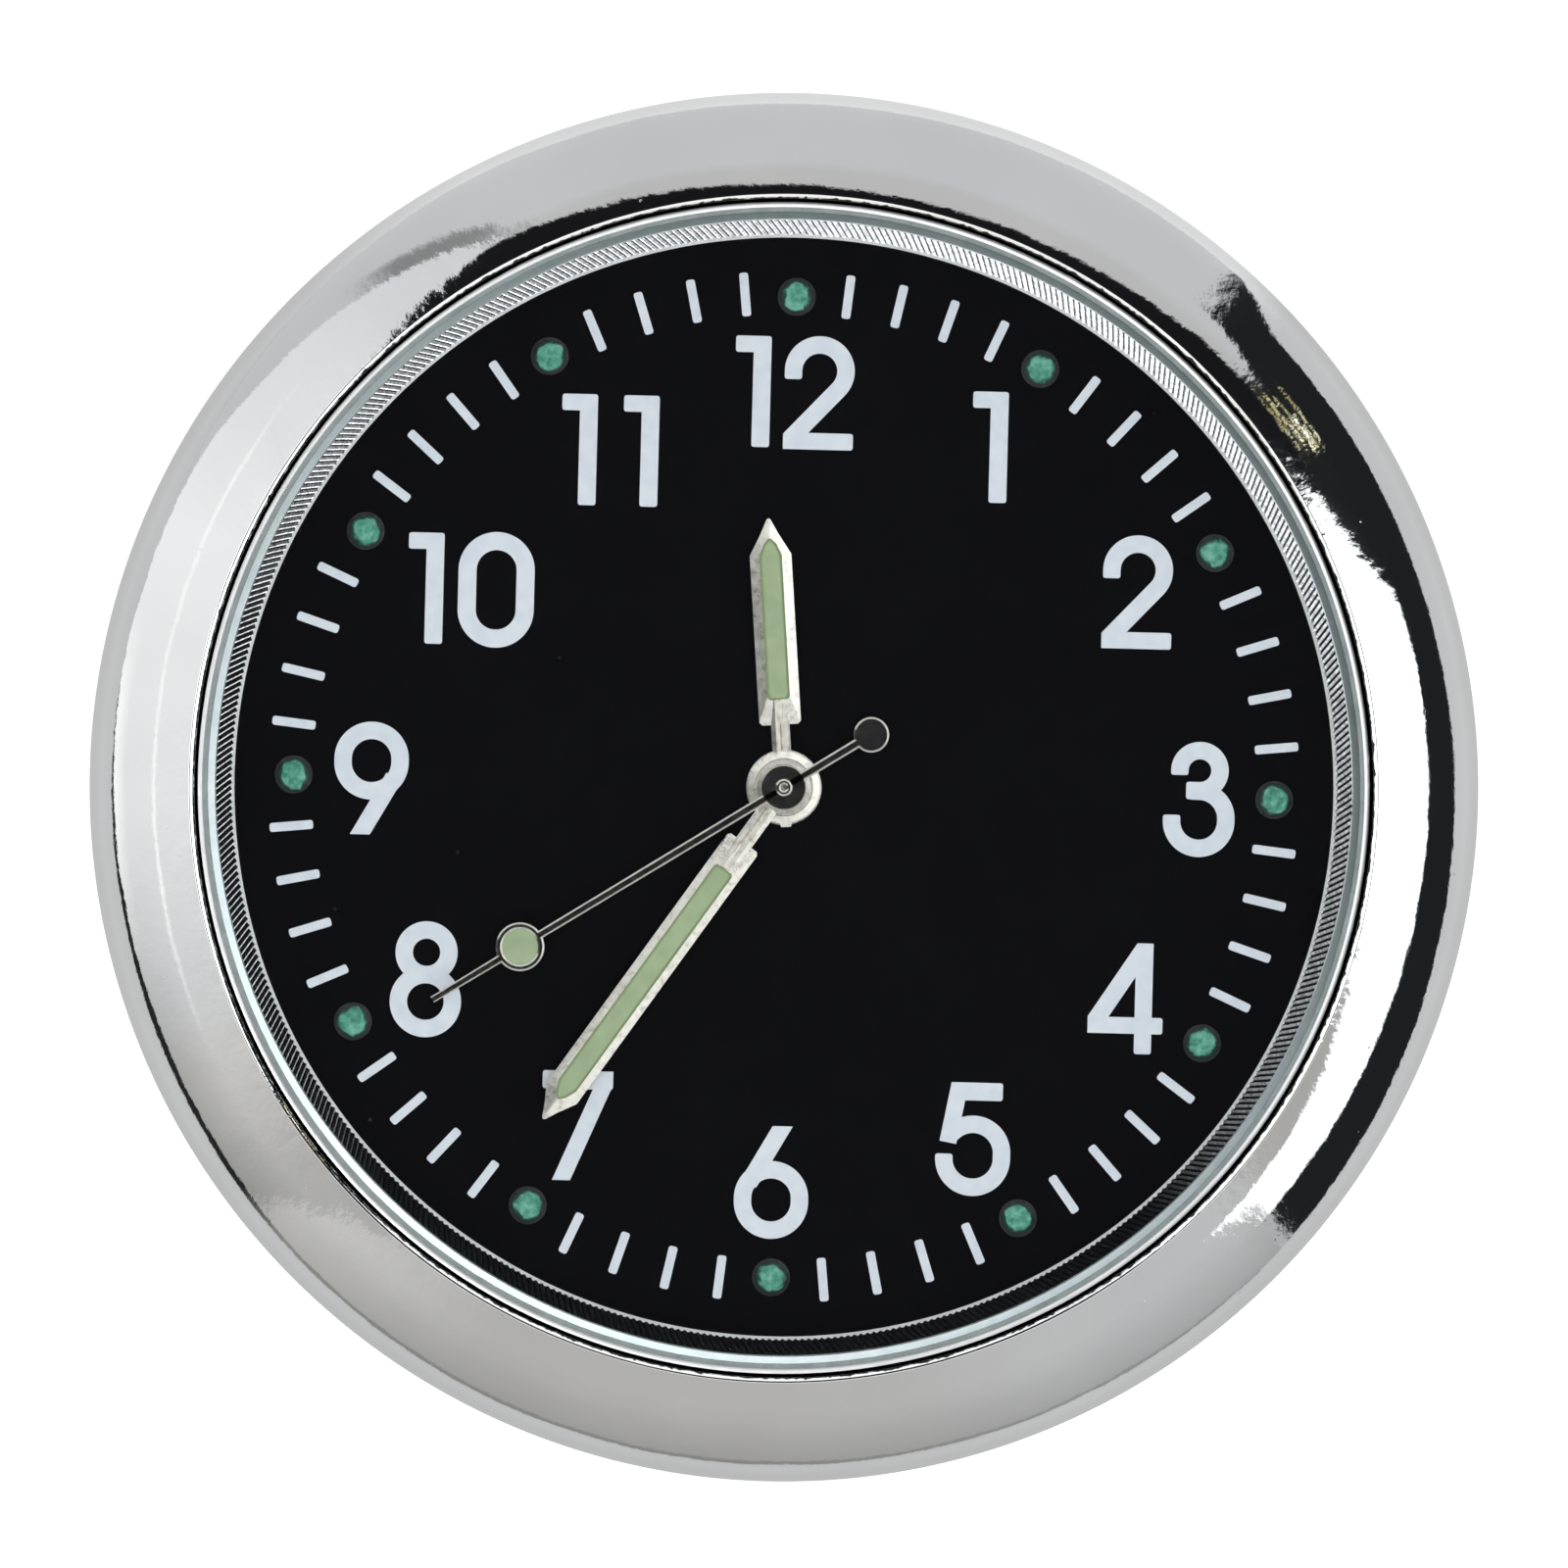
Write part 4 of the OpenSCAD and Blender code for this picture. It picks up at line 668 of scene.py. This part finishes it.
def blade(bm, width, start, length, tip, slot_width, slot_start, slot_end):
    """Bevelled blade round its slot: facets run from the thin outer edge up to the slot."""
    w, blunt = width / 2, 0.06
    outer = both_sides([
        (0, start), (w * 0.86, start), (w, start + 0.09), (w, length - tip),
        (w * 0.45, length - tip * 0.45), (blunt, length - 0.04), (0, length)])
    s = slot_width / 2
    inner = both_sides([
        (0, slot_start), (s * 0.8, slot_start + 0.02), (s, slot_start + 0.12), (s, slot_end - 0.5),
        (s * 0.55, slot_end - 0.16), (s * 0.12, slot_end - 0.01), (0, slot_end)])
    low = loop(bm, [(x, y, HAND_EDGE) for x, y in outer])
    high = loop(bm, [(x, y, HAND_T) for x, y in inner])
    bmesh.ops.bridge_loops(bm, edges=low + high)
    bmesh.ops.bridge_loops(bm, edges=drop_walls(bm, low, HAND_EDGE) + drop_walls(bm, high, HAND_T))
    return inner


def neck(bm, start, blade_start, end, width):
    """Neck with a stamped groove along its middle, from the hub up to the slot."""
    w = width / 2
    section = [(-w, 0), (-w, HAND_EDGE), (-w * 0.5, 0.125), (-0.02, 0.12), (0.03, 0.05), (0.1, 0.12),
               (w - 0.06, 0.115), (w, HAND_EDGE), (w, 0)]
    edges = loop(bm, [(x, start, z) for x, z in section])
    bmesh.ops.contextual_create(bm, geom=edges)
    for reach, lift in ((blade_start - start, 1.0), (end - blade_start, 1.38)):
        grown = bmesh.ops.extrude_edge_only(bm, edges=edges)["geom"]
        edges = lines_of(grown)
        far = points_of(grown)
        bmesh.ops.translate(bm, verts=far, vec=(0, reach, 0))
        bmesh.ops.scale(bm, verts=far, vec=(1, 1, lift))
    bmesh.ops.contextual_create(bm, geom=edges)


def paste(bm, outline):
    """Glow paste in a slot: it sinks at its edge, which is marked for painted shade, and swells along the
    middle.
    """
    shade = bm.verts.layers.float.new("paste_edge_shade")
    start, end = min(y for x, y in outline), max(y for x, y in outline)
    middle, half, side = (start + end) / 2, (end - start) / 2, max(x for x, y in outline)
    rows = []
    for share, height, dark in ((1.0, HAND_T - 0.15, 1), (1.0, HAND_T - 0.09, 1), (0.86, HAND_T - 0.06, 1),
                                (0.66, HAND_T - 0.045, 0), (0.3, HAND_T - 0.04, 0)):
        draw_in = 1 - (1 - share) * side / half
        rows.append(loop(bm, [(x * share, middle + (y - middle) * draw_in, height) for x, y in outline]))
        for edge in rows[-1]:
            edge.verts[0][shade] = dark
    for outer, inner in zip(rows, rows[1:]):
        bmesh.ops.bridge_loops(bm, edges=outer + inner)
    for end_row in (rows[0], rows[-1]):
        bmesh.ops.contextual_create(bm, geom=end_row)


HOUR_ANGLE, HOUR_Z, MINUTE_ANGLE, MINUTE_Z = 355.2, 8.25, 214.5, 8.73
HUB_FOOT = -0.18
hour = bmesh.new()
slot_line = blade(hour, width=1.26, start=1.9, length=8.15, tip=1.11,
                  slot_width=0.68, slot_start=2.63, slot_end=7.53)
neck(hour, start=0.95, blade_start=1.9, end=2.66, width=0.56)
collar(hour, outer=1.14, inner=0.72, low=HUB_FOOT, high=HAND_T, soften=0.03, slope=0.88)
tail = loop(hour, [(-0.2, -1.0, HAND_T - 0.03), (0.2, -1.0, HAND_T - 0.03),
                   (0.15, -1.2, HAND_T - 0.06), (-0.15, -1.2, HAND_T - 0.06)])
bmesh.ops.contextual_create(hour, geom=tail)
bmesh.ops.contextual_create(hour, geom=drop_walls(hour, tail, 0.12))
hang(hour, HOUR_ANGLE, HOUR_Z)
hour_satin = piece("hour_hand_satin", hour, "hour", satin, ["hour_hand"], crease=12)
hour_paste = bmesh.new()
paste(hour_paste, slot_line)
hang(hour_paste, HOUR_ANGLE, HOUR_Z)
piece("hour_paste", hour_paste, "hour", glow_paste, ["hour_hand_lume"], crease=50)

minute = bmesh.new()
slot_line = blade(minute, width=1.12, start=2.06, length=12.38, tip=0.96,
                  slot_width=0.65, slot_start=3.02, slot_end=11.62)
neck(minute, start=0.7, blade_start=2.06, end=3.05, width=0.56)
collar(minute, outer=0.82, inner=0.42, low=HUB_FOOT, high=HAND_T, soften=0.03, slope=0.7)
hang(minute, MINUTE_ANGLE, MINUTE_Z)
minute_satin = piece("minute_hand_satin", minute, "minute", satin, ["minute_hand"], crease=12)
minute_paste = bmesh.new()
paste(minute_paste, slot_line)
hang(minute_paste, MINUTE_ANGLE, MINUTE_Z)
piece("minute_paste", minute_paste, "minute", glow_paste, ["minute_hand_lume"], crease=50)

# Second hand: a thin nickel stamping polished like a mirror, with softened edges.
# Its ring holds a disc of glow paste, and its tube is pressed on the long second arbor.

nickel = finish("polished_nickel", (0.62, 0.6, 0.57), 0.07, 1.0)
mottle(nickel, 0.4, (0.56, 0.54, 0.51), (0.68, 0.66, 0.62))
scuff(nickel, 0.3, 0.05, 0.12)
pebble(nickel, 0.12, 0.0008)

SECOND_ANGLE, SECOND_Z, SECOND_T = 237.4, 9.21, 0.12
RING_AT, RING_IN, WEIGHT_AT = 9.3, 0.545, -3.08
second = bmesh.new()
section = [(-0.5, 0.0), (-0.5, 0.088), (-0.3, SECOND_T), (0.3, SECOND_T), (0.5, 0.088), (0.5, 0.0)]
for tail_end, lead_end, w0, w1 in ((-2.6, 8.65, 0.28, 0.24), (9.95, 12.39, 0.24, 0.2)):
    near = loop(second, [(x * w0, tail_end, z) for x, z in section])
    far = points_of(bmesh.ops.extrude_edge_only(second, edges=near)["geom"])
    bmesh.ops.translate(second, verts=far, vec=(0, lead_end - tail_end, 0))
    bmesh.ops.scale(second, verts=far, vec=(w1 / w0, 1, 1))
    bmesh.ops.contextual_create(second, geom=near)
    bmesh.ops.contextual_create(second, geom=far)
collar(second, outer=0.68, inner=0.24, low=0.0, high=SECOND_T, soften=0.025)
collar(second, outer=0.25, inner=0.1, low=HUB_FOOT, high=SECOND_T + 0.17, soften=0.05, steps=40)
hub = set(second.verts)
collar(second, outer=0.735, inner=RING_IN, low=0.0, high=SECOND_T, soften=0.055, steps=48)
bmesh.ops.translate(second, verts=[v for v in second.verts if v not in hub], vec=(0, RING_AT, 0))
ringed = set(second.verts)
lathe(second, [(0.0, 0.0), (0.535, 0.0), (0.535, 0.085), (0.48, SECOND_T), (0.0, SECOND_T)], steps=48)
bmesh.ops.translate(second, verts=[v for v in second.verts if v not in ringed], vec=(0, WEIGHT_AT, 0))
hang(second, SECOND_ANGLE, SECOND_Z)
piece("second_hand_nickel", second, "second", nickel, ["second_hand"], crease=25)

second_paste = bmesh.new()
disc = [(0.0, 0.01), (RING_IN, 0.01), (RING_IN, 0.075), (0.42, 0.09), (0.2, 0.098), (0.0, 0.1)]
lathe(second_paste, disc, steps=48)
bmesh.ops.translate(second_paste, verts=second_paste.verts[:], vec=(0, RING_AT, 0))
hang(second_paste, SECOND_ANGLE, SECOND_Z)
piece("second_paste", second_paste, "second", glow_paste, ["second_hand_lume"], crease=50)

# Reflector ring: a pressed ring of bright tin plate between dial and glass.
# Its wall has fine slanted flutes whose groove bottoms are coloured near black as painted shade; its foot is
# rolled into a narrow bright bead.

tinplate = finish("tin_plate", (0.5, 0.51, 0.54), 0.4, 1.0)
clouds = grain(tinplate, place(tinplate), 0.3)
tinned = tones(tinplate, clouds, (0.3, (0.44, 0.45, 0.48)), (0.7, (0.56, 0.57, 0.6)))
groove = wire(tinplate, "ShaderNodeAttribute", attribute_name="groove").outputs["Fac"]
# Painted shade: the bottoms of the grooves are coloured near black, where the flutes shade each other.
groove_shade = spread(tinplate, groove, 0.0, 1.0, 0.6, 0.85)
feed(tinplate, "Base Color", mixed(tinplate, groove_shade, tinned, (0.02, 0.02, 0.022)))
scuff(tinplate, 0.15, 0.17, 0.24)
pebble(tinplate, 0.3, 0.002)

FLUTES, FLUTE_DEEP, FLUTE_LEAN = 530, 0.06, 0.36
WALL_R, WALL_TOP_R, WALL_BACK, LEDGE_Z, GLASS_Z, GLASS_GAP = 16.76, 17.16, 17.19, 7.94, 10.0, 0.01
RISES = 4
pitch = math.tau / FLUTES
flutes = bmesh.new()
groove_depth = flutes.verts.layers.float.new("groove")


def around(radius, share):
    """A point of the first flute: its radius, and its share of the flute's pitch."""
    spot = flutes.verts.new((radius * MM, -LEDGE_Z * MM, 0))
    bmesh.ops.rotate(flutes, verts=[spot], cent=(0, 0, 0), matrix=Matrix.Rotation(pitch * share, 3, "Y"))
    return spot


front = [around(WALL_R, 0), around(WALL_R - FLUTE_DEEP, 0.5), around(WALL_R, 1)]
front[0][groove_depth] = front[2][groove_depth] = 1.0
rear = [around(WALL_BACK, 1), around(WALL_BACK, 0)]
flutes.faces.new(front + rear)
row = [flutes.edges.get(front[:2]), flutes.edges.get(front[1:]), flutes.edges.get(rear)]
lean = Matrix.Rotation(-FLUTE_LEAN / WALL_R / RISES, 3, "Y")
step = (WALL_TOP_R - WALL_R) / RISES
for i in range(RISES):
    grown = bmesh.ops.extrude_edge_only(flutes, edges=row)["geom"]
    row = lines_of(grown)
    up = points_of(grown)
    wall = [v for v in up if v.link_faces and Vector((v.co.x, v.co.z)).length < (WALL_BACK - 0.01) * MM]
    wider = (WALL_R + step * (i + 1)) / (WALL_R + step * i)
    bmesh.ops.scale(flutes, verts=wall, vec=(wider, 1, wider))
    bmesh.ops.translate(flutes, verts=up, vec=(0, -(GLASS_Z - GLASS_GAP - LEDGE_Z) / RISES * MM, 0))
    bmesh.ops.rotate(flutes, verts=up, cent=(0, 0, 0), matrix=lean)
bmesh.ops.contextual_create(flutes, geom=up)
repeat(flutes, 360 * (FLUTES - 1) / FLUTES, FLUTES - 1, (0, 1, 0))
flute_ring = piece("reflector_flutes", flutes, "insert", tinplate, ["reflector_ring"], crease=30)

FOOT_OUT, FOOT_IN, BEAD_R = 17.18, 16.64, 0.055
foot = turned((FOOT_OUT, DIAL_Z), [
    (FOOT_IN, DIAL_Z), (FOOT_IN, DIAL_Z + BEAD_R, 180), (FOOT_OUT, DIAL_Z + 2 * BEAD_R), (FOOT_OUT, DIAL_Z)])
foot_ring = piece("reflector_foot", foot, "insert", rolled)

# Glass and its gasket: flat mineral glass, ground to a chamfer, in a thin ring of clear plastic.
# The gasket is pressed between glass and rim; the glass has the faint green of soda lime.
# Its ground edge is a piece of its own and is left frosted.

gasket = finish("clear_gasket", (0.24, 0.28, 0.28), 0.3)
mottle(gasket, 0.6, (0.2, 0.24, 0.24), (0.28, 0.32, 0.32))
scuff(gasket, 0.2, 0.22, 0.38)
pebble(gasket, 0.1, 0.002)
dress(gasket, "crystal_gasket")

glass = finish("mineral_glass", (0.97, 0.99, 0.98), 0.0, Transmission_Weight=1.0, IOR=1.52)
scuff(glass, 3.0, 0.0, 0.012)
GROUND_R, GLASS_R, GLASS_TOP = 17.1, 17.32, 11.3
pane = turned((0, GLASS_Z), [(GROUND_R, GLASS_Z), (GROUND_R, GLASS_TOP), (0, GLASS_TOP)])
pane = piece("glass_pane", pane, "insert", glass, ["crystal"])
pane.visible_shadow = False
pane.visible_diffuse = False

ground = finish("ground_glass", (0.6, 0.68, 0.7), 0.4)
mottle(ground, 0.5, (0.6, 0.69, 0.71), (0.7, 0.79, 0.81))
scuff(ground, 0.1, 0.34, 0.5)
pebble(ground, 0.08, 0.003)
chamfer = GLASS_R - GROUND_R
edge = turned((GROUND_R, GLASS_Z), [
    (GLASS_R, GLASS_Z), (GLASS_R, GLASS_TOP - chamfer), (GROUND_R, GLASS_TOP), (GROUND_R, GLASS_Z)])
ground_edge = piece("glass_ground_edge", edge, "insert", ground)

# Studio: a pale floor under the rim, a white tent with dark gaps that the chrome mirrors,
# a soft lamp low in front, and small lamps kept to the rings and the hands.
# The camera looks almost square on, from a little above the axis.

FLOOR_GAP, FLOOR_HALF = 0.1, 1.5
floor_bm = bmesh.new()
bmesh.ops.create_grid(floor_bm, x_segments=2, y_segments=2, size=FLOOR_HALF)
floor_mesh = bpy.data.meshes.new("floor")
floor_bm.to_mesh(floor_mesh)
floor_bm.free()
floor = bpy.data.objects.new("floor", floor_mesh)
floor.location.z = -(CASE_R + FLOOR_GAP) * MM
bpy.context.scene.collection.objects.link(floor)
pale = finish("pale_floor", (0.9, 0.9, 0.9), 0.8)
pale_shader = pale.node_tree.nodes["Principled BSDF"]
seen = wire(pale, "ShaderNodeLightPath").outputs["Is Camera Ray"]
pale_shader.inputs["Emission Color"].default_value = (1, 1, 1, 1)
feed(pale, "Emission Strength", spread(pale, seen, 0.0, 0.8, 0.0, 1.0))
floor_mesh.materials.append(pale)
floor.visible_glossy = False
floor.visible_diffuse = False
floor.visible_shadow = False
floor.visible_transmission = False

scene = bpy.context.scene
scene.view_settings.view_transform = "Standard"
tent = bpy.data.worlds.new("tent")
scene.world = tent
tent.use_nodes = True
tent.node_tree.nodes.clear()

ray = wire(tent, "ShaderNodeTexCoord").outputs["Generated"]
parts = wire(tent, "ShaderNodeSeparateXYZ", {"Vector": ray}).outputs
forwards = reckon(tent, "MULTIPLY", parts["Y"], -1.0)
bearing = reckon(tent, "MULTIPLY", reckon(tent, "ARCTAN2", parts["X"], parts["Z"]), 180 / math.pi)
off_axis = reckon(tent, "MULTIPLY", reckon(tent, "ARCCOSINE", forwards), 180 / math.pi)
round_clock = spread(tent, bearing, 0.0, 1.0, -180, 180)
outwards = spread(tent, off_axis, 0.0, 1.0, 0, 180)
MOST = 200
WARM, COOL, PLAIN, UNLIT = (1.0, 0.985, 0.95), (0.97, 0.985, 1.0), (1, 1, 1), (0.015, 0.015, 0.017)


def sky(*stops):
    """Tones round the clock: each stop is degrees clockwise from 12, a brightness, and a tint if any."""
    tinted = [(a, [v * share for share in (tint[0] if tint else PLAIN)]) for a, v, *tint in stops]
    return tones(tent, round_clock, *[((a + 180) / 360, tone) for a, tone in tinted])


def by_bearing(*stops):
    """A number that changes round the clock, by degrees clockwise from 12."""
    ramp = tones(tent, round_clock, *[((a + 180) / 360, (v / MOST,) * 3) for a, v in stops])
    return reckon(tent, "MULTIPLY", ramp, float(MOST))


def by_angle(*stops):
    """A number that changes with the degrees off the clock's axis."""
    ramp = tones(tent, outwards, *[(a / 180, (v / MOST,) * 3) for a, v in stops])
    return reckon(tent, "MULTIPLY", ramp, float(MOST))


def past(value, edge, soft=1.5):
    """0 up to an edge and 1 past it."""
    return spread(tent, reckon(tent, "SUBTRACT", value, edge), 0.0, 1.0, 0.0, soft)


def short_of(value, edge, soft=1.5):
    """1 up to an edge and 0 past it."""
    return spread(tent, reckon(tent, "SUBTRACT", value, edge), 1.0, 0.0, 0.0, soft)


def both(a, b):
    """Where two patterns are both 1."""
    return reckon(tent, "MULTIPLY", a, b)


def dimmed(tone, share):
    """A tone made darker by a share of it."""
    return wire(tent, "ShaderNodeVectorMath", {0: tone, "Scale": share}, operation="SCALE").outputs["Vector"]


def away(value, middle, reach):
    """How far a value is from a middle, in reaches, squared."""
    return reckon(tent, "POWER", reckon(tent, "DIVIDE", reckon(tent, "SUBTRACT", value, middle), reach), 2.0)


# The tent's roof, and its left wall with a bright streak, a glow and a smear.
top = tones(
    tent, outwards, (0.12, (0.86, 0.86, 0.845)), (0.22, (0.87, 0.87, 0.855)),
    (0.27, (0.94, 0.95, 0.97)), (0.72, (0.94, 0.95, 0.96)))
left = sky(
    (-180, 0.7, WARM), (-140, 0.72, WARM), (-131, 0.77, WARM), (-128, 0.81, WARM), (-124, 0.92, WARM),
    (-118, 1.0, WARM), (-112, 1.08), (-106, 1.18), (-96, 1.33), (-84, 1.45), (-70, 1.5), (-60, 1.4),
    (-45, 1.27, COOL), (-30, 1.12, COOL), (180, 1.0))
fading = dimmed(left, by_angle((0, 1.0), (50, 0.98), (60, 0.9), (75, 0.8), (90, 0.72), (100, 0.66)))
left = mixed(tent, by_bearing((-180, 1), (-116, 1), (-98, 0), (180, 0)), left, fading)
left_edge = by_bearing(
    (-180, 150), (-66, 103), (-60, 100), (-54, 88), (-48, 81), (-42, 71), (-36, 60), (-30, 42), (-26, 20),
    (-24, 0), (180, 0))
mirrored = mixed(tent, short_of(off_axis, left_edge), top, left)
at_left = by_bearing((-180, 0), (-116, 0), (-100, 1), (-64, 1), (-52, 0), (180, 0))
streak = both(past(off_axis, 49.5, 3.0), short_of(off_axis, 52.5, 3.0))
mirrored = mixed(tent, both(streak, at_left), mirrored, (1.74, 1.73, 1.7))
glow = by_bearing((-180, 0), (-106, 0), (-92, 1), (-84, 1), (-76, 0), (180, 0))
mirrored = mixed(tent, both(past(off_axis, 86, 14), glow), mirrored, (1.72, 1.71, 1.69))
smear = by_bearing((-180, 0), (-43, 0), (-39, 1), (-31, 1), (-26, 0), (180, 0))
smeared = both(past(off_axis, left_edge), short_of(off_axis, reckon(tent, "ADD", left_edge, 14.0), 8.0))
mirrored = mixed(tent, both(smeared, smear), mirrored, (0.42, 0.42, 0.42))

# The dark gap on the right, gold flecks at its upper end, and a white panel in front of it.
dark_start = by_angle((20, 40), (36, 46), (46, 47), (55, 43), (60, 40), (100, 39.5))
dark = both(past(bearing, dark_start), short_of(bearing, 129.5))
mirrored = mixed(tent, dark, mirrored, (0.022, 0.024, 0.026))
fleck_x = reckon(tent, "MULTIPLY", bearing, 0.8)
fleck_y = reckon(tent, "MULTIPLY", off_axis, 0.17)
flecks = wire(tent, "ShaderNodeCombineXYZ", {"X": fleck_x, "Y": fleck_y}).outputs[0]
drops = wire(tent, "ShaderNodeTexVoronoi", {"Vector": flecks, "Scale": 1.0}).outputs
chance = wire(tent, "ShaderNodeSeparateColor", {"Color": drops["Color"]}).outputs
apart = reckon(tent, "ADD", away(bearing, 54.0, 3.6), away(off_axis, 50.0, 19.0))
kept = past(chance["Red"], reckon(tent, "ADD", reckon(tent, "MULTIPLY", apart, 0.5), 0.05), 0.05)
sparkle = both(kept, spread(tent, drops["Distance"], 1.0, 0.0, 0.3, 0.42))
gold = tones(tent, chance["Green"], (0.1, (1.5, 1.35, 0.65)), (0.5, (3.2, 3.0, 1.9)), (0.9, (4.6, 4.6, 4.1)))
mirrored = mixed(tent, sparkle, mirrored, gold)
white_edge = by_bearing(
    (-180, 0), (56, 0), (60, 27), (66, 41), (72, 65), (78, 67.5), (120, 68), (134, 69), (136, 0), (180, 0))
mirrored = mixed(tent, short_of(off_axis, white_edge), mirrored, (2.15, 2.2, 2.2))

# The table below, the line where it ends, the wall behind, and the shade round the lens.
low = sky(
    (-180, 0.79, WARM), (-153, 0.8, WARM), (-146, 0.86, WARM), (-140, 0.92, WARM), (-134, 1.0, WARM),
    (-128, 1.02, WARM), (108, 0.66, WARM), (126, 0.72, WARM), (133, 0.93), (150, 0.87), (180, 0.79, WARM))
low = dimmed(low, by_angle((0, 1.0), (45, 1.0), (62, 0.94), (75, 0.87), (95, 0.8), (107, 0.74), (112, 0.7)))
low_left = by_angle((20, 141), (28, 136.5), (45, 134.5), (60, 132), (75, 130.5), (110, 129.5))
low_right = by_angle(
    (20, 108), (27, 114), (34, 120), (36, 126), (40, 134), (46, 131.5), (60, 130), (110, 130.5))
leftwards = reckon(tent, "MULTIPLY", bearing, -1.0)
below = reckon(tent, "MAXIMUM", past(leftwards, low_left), past(bearing, low_right))
mirrored = mixed(tent, below, mirrored, low)
rear_edge = by_bearing(
    (-180, 115), (-150, 115), (-130, 112), (-124, 110), (-100, 105.5), (-80, 104), (-66, 104), (-58, 112),
    (-45, 120), (-30, 128), (0, 127), (41, 128), (46, 95), (60, 97), (72, 99), (84, 102), (96, 105),
    (108, 109), (120, 113), (130, 116), (180, 115))
line_width = by_bearing(
    (-180, 6), (-132, 6), (-128, 9), (-110, 8), (-96, 4), (-86, 1.5), (-82, 0), (132, 0), (140, 4), (180, 6))
line_tone = sky(
    (-180, 0.42, WARM), (-133, 0.42, WARM), (-129, 0.03), (-82, 0.03), (-78, 0.5), (130, 0.5),
    (180, 0.42, WARM))
line_edge = reckon(tent, "SUBTRACT", rear_edge, line_width)
mirrored = mixed(tent, past(off_axis, line_edge, 1.0), mirrored, line_tone)
behind = sky(
    (-180, 0.87), (-126, 0.88), (-90, 0.95), (-60, 0.92), (-45, 0.95), (-30, 1.2), (0, 1.28), (40, 1.25),
    (46, 0.92), (90, 0.95), (130, 0.9), (180, 0.87))
behind = dimmed(behind, by_angle((0, 1.0), (125, 1.0), (175, 0.5)))
mirrored = mixed(tent, past(off_axis, rear_edge, 1.2), mirrored, behind)
lens_shade = by_bearing(
    (-180, 9), (-60, 9), (-46, 11), (-42, 19), (-36, 29), (-30, 36), (-24, 33), (-18, 29), (-12, 27),
    (-6, 25), (0, 22.5), (12, 22), (24, 24), (36, 28), (42, 33), (46, 34), (57, 34), (62, 9), (180, 9))
mirrored = mixed(tent, short_of(off_axis, lens_shade, 2.0), mirrored, UNLIT)

# What comes in through the glass, and what plain surfaces and the camera get.
path = wire(tent, "ShaderNodeLightPath").outputs
inside = sky(
    (-180, 0.8), (-128, 0.8), (-116, 0.1), (-78, 0.1), (-66, 1.0), (20, 0.95), (60, 1.3), (100, 1.3),
    (130, 0.8), (180, 0.8))
inside = mixed(tent, short_of(off_axis, 12.0, 3.0), inside, UNLIT)
sent = mixed(tent, path["Is Transmission Ray"], mirrored, inside)
sent = mixed(tent, path["Is Diffuse Ray"], sent, (0.29, 0.29, 0.29))
sent = mixed(tent, path["Is Camera Ray"], sent, (1.0, 1.0, 1.0))
out = wire(tent, "ShaderNodeOutputWorld")
sky_light = wire(tent, "ShaderNodeBackground", {"Color": sent, "Strength": 1.22})
tent.node_tree.links.new(sky_light.outputs[0], out.inputs[0])

aim = Vector((0, -dome_z * MM, 0))


def lamp(name, state, pieces, where, size, watts):
    """A soft lamp kept to some pieces, or kept off them and then unseen by the mirrors."""
    data = bpy.data.lights.new(name, "AREA")
    data.size, data.energy = size, watts
    made = bpy.data.objects.new(name, data)
    made.location = where
    made.rotation_mode = "QUATERNION"
    made.rotation_quaternion = (aim - made.location).to_track_quat("-Z", "Y")
    made.visible_glossy = state == "INCLUDE"
    made.visible_camera = made.visible_transmission = False
    scene.collection.objects.link(made)
    lit = bpy.data.collections.new(name)
    for lit_piece in pieces:
        lit.objects.link(lit_piece)
    for link in lit.collection_objects:
        link.light_linking.link_state = state
    made.light_linking.receiver_collection = lit
    data.use_shadow = state == "EXCLUDE"


rings = [flute_ring, foot_ring, ground_edge, rim_roll]
for ring in rings:
    ring.visible_diffuse = False
    ring.visible_glossy = False
lamp("front_lamp", "EXCLUDE", rings, where=(0, -0.5, -0.06), size=0.3, watts=1.75)
lamp("flute_lamp", "INCLUDE", [flute_ring], where=(0, -0.08, -0.28), size=0.1, watts=230.0)
lamp("bead_lamp", "INCLUDE", [foot_ring], where=(-0.04, -0.12, 0.25), size=0.1, watts=0.8)
lamp("edge_lamp", "INCLUDE", [ground_edge, rim_roll], where=(-0.16, -0.15, -0.19), size=0.1, watts=1.0)
lamp("hand_lamp", "INCLUDE", [hour_satin, minute_satin], where=(0.09, -0.3, -0.01), size=0.2, watts=0.7)

DISTANCE, TILT, ROLL, FIELD, SENSOR, RAISED = 0.4, 0.4, 1.5, 47.42 * MM, 36, 0.1 * MM
aim += Vector((0, 0, RAISED))
back = Vector((0, -math.cos(math.radians(TILT)), math.sin(math.radians(TILT))))
lens = bpy.data.cameras.new("camera")
lens.sensor_width = SENSOR
lens.lens = SENSOR * DISTANCE / FIELD
lens.clip_start, lens.clip_end = 0.01, 10
camera = bpy.data.objects.new("camera", lens)
camera.location = aim + back * DISTANCE
camera.rotation_mode = "QUATERNION"
camera.rotation_quaternion = (-back).to_track_quat("-Z", "Y") @ Quaternion((0, 0, 1), math.radians(ROLL))
scene.collection.objects.link(camera)
scene.camera = camera
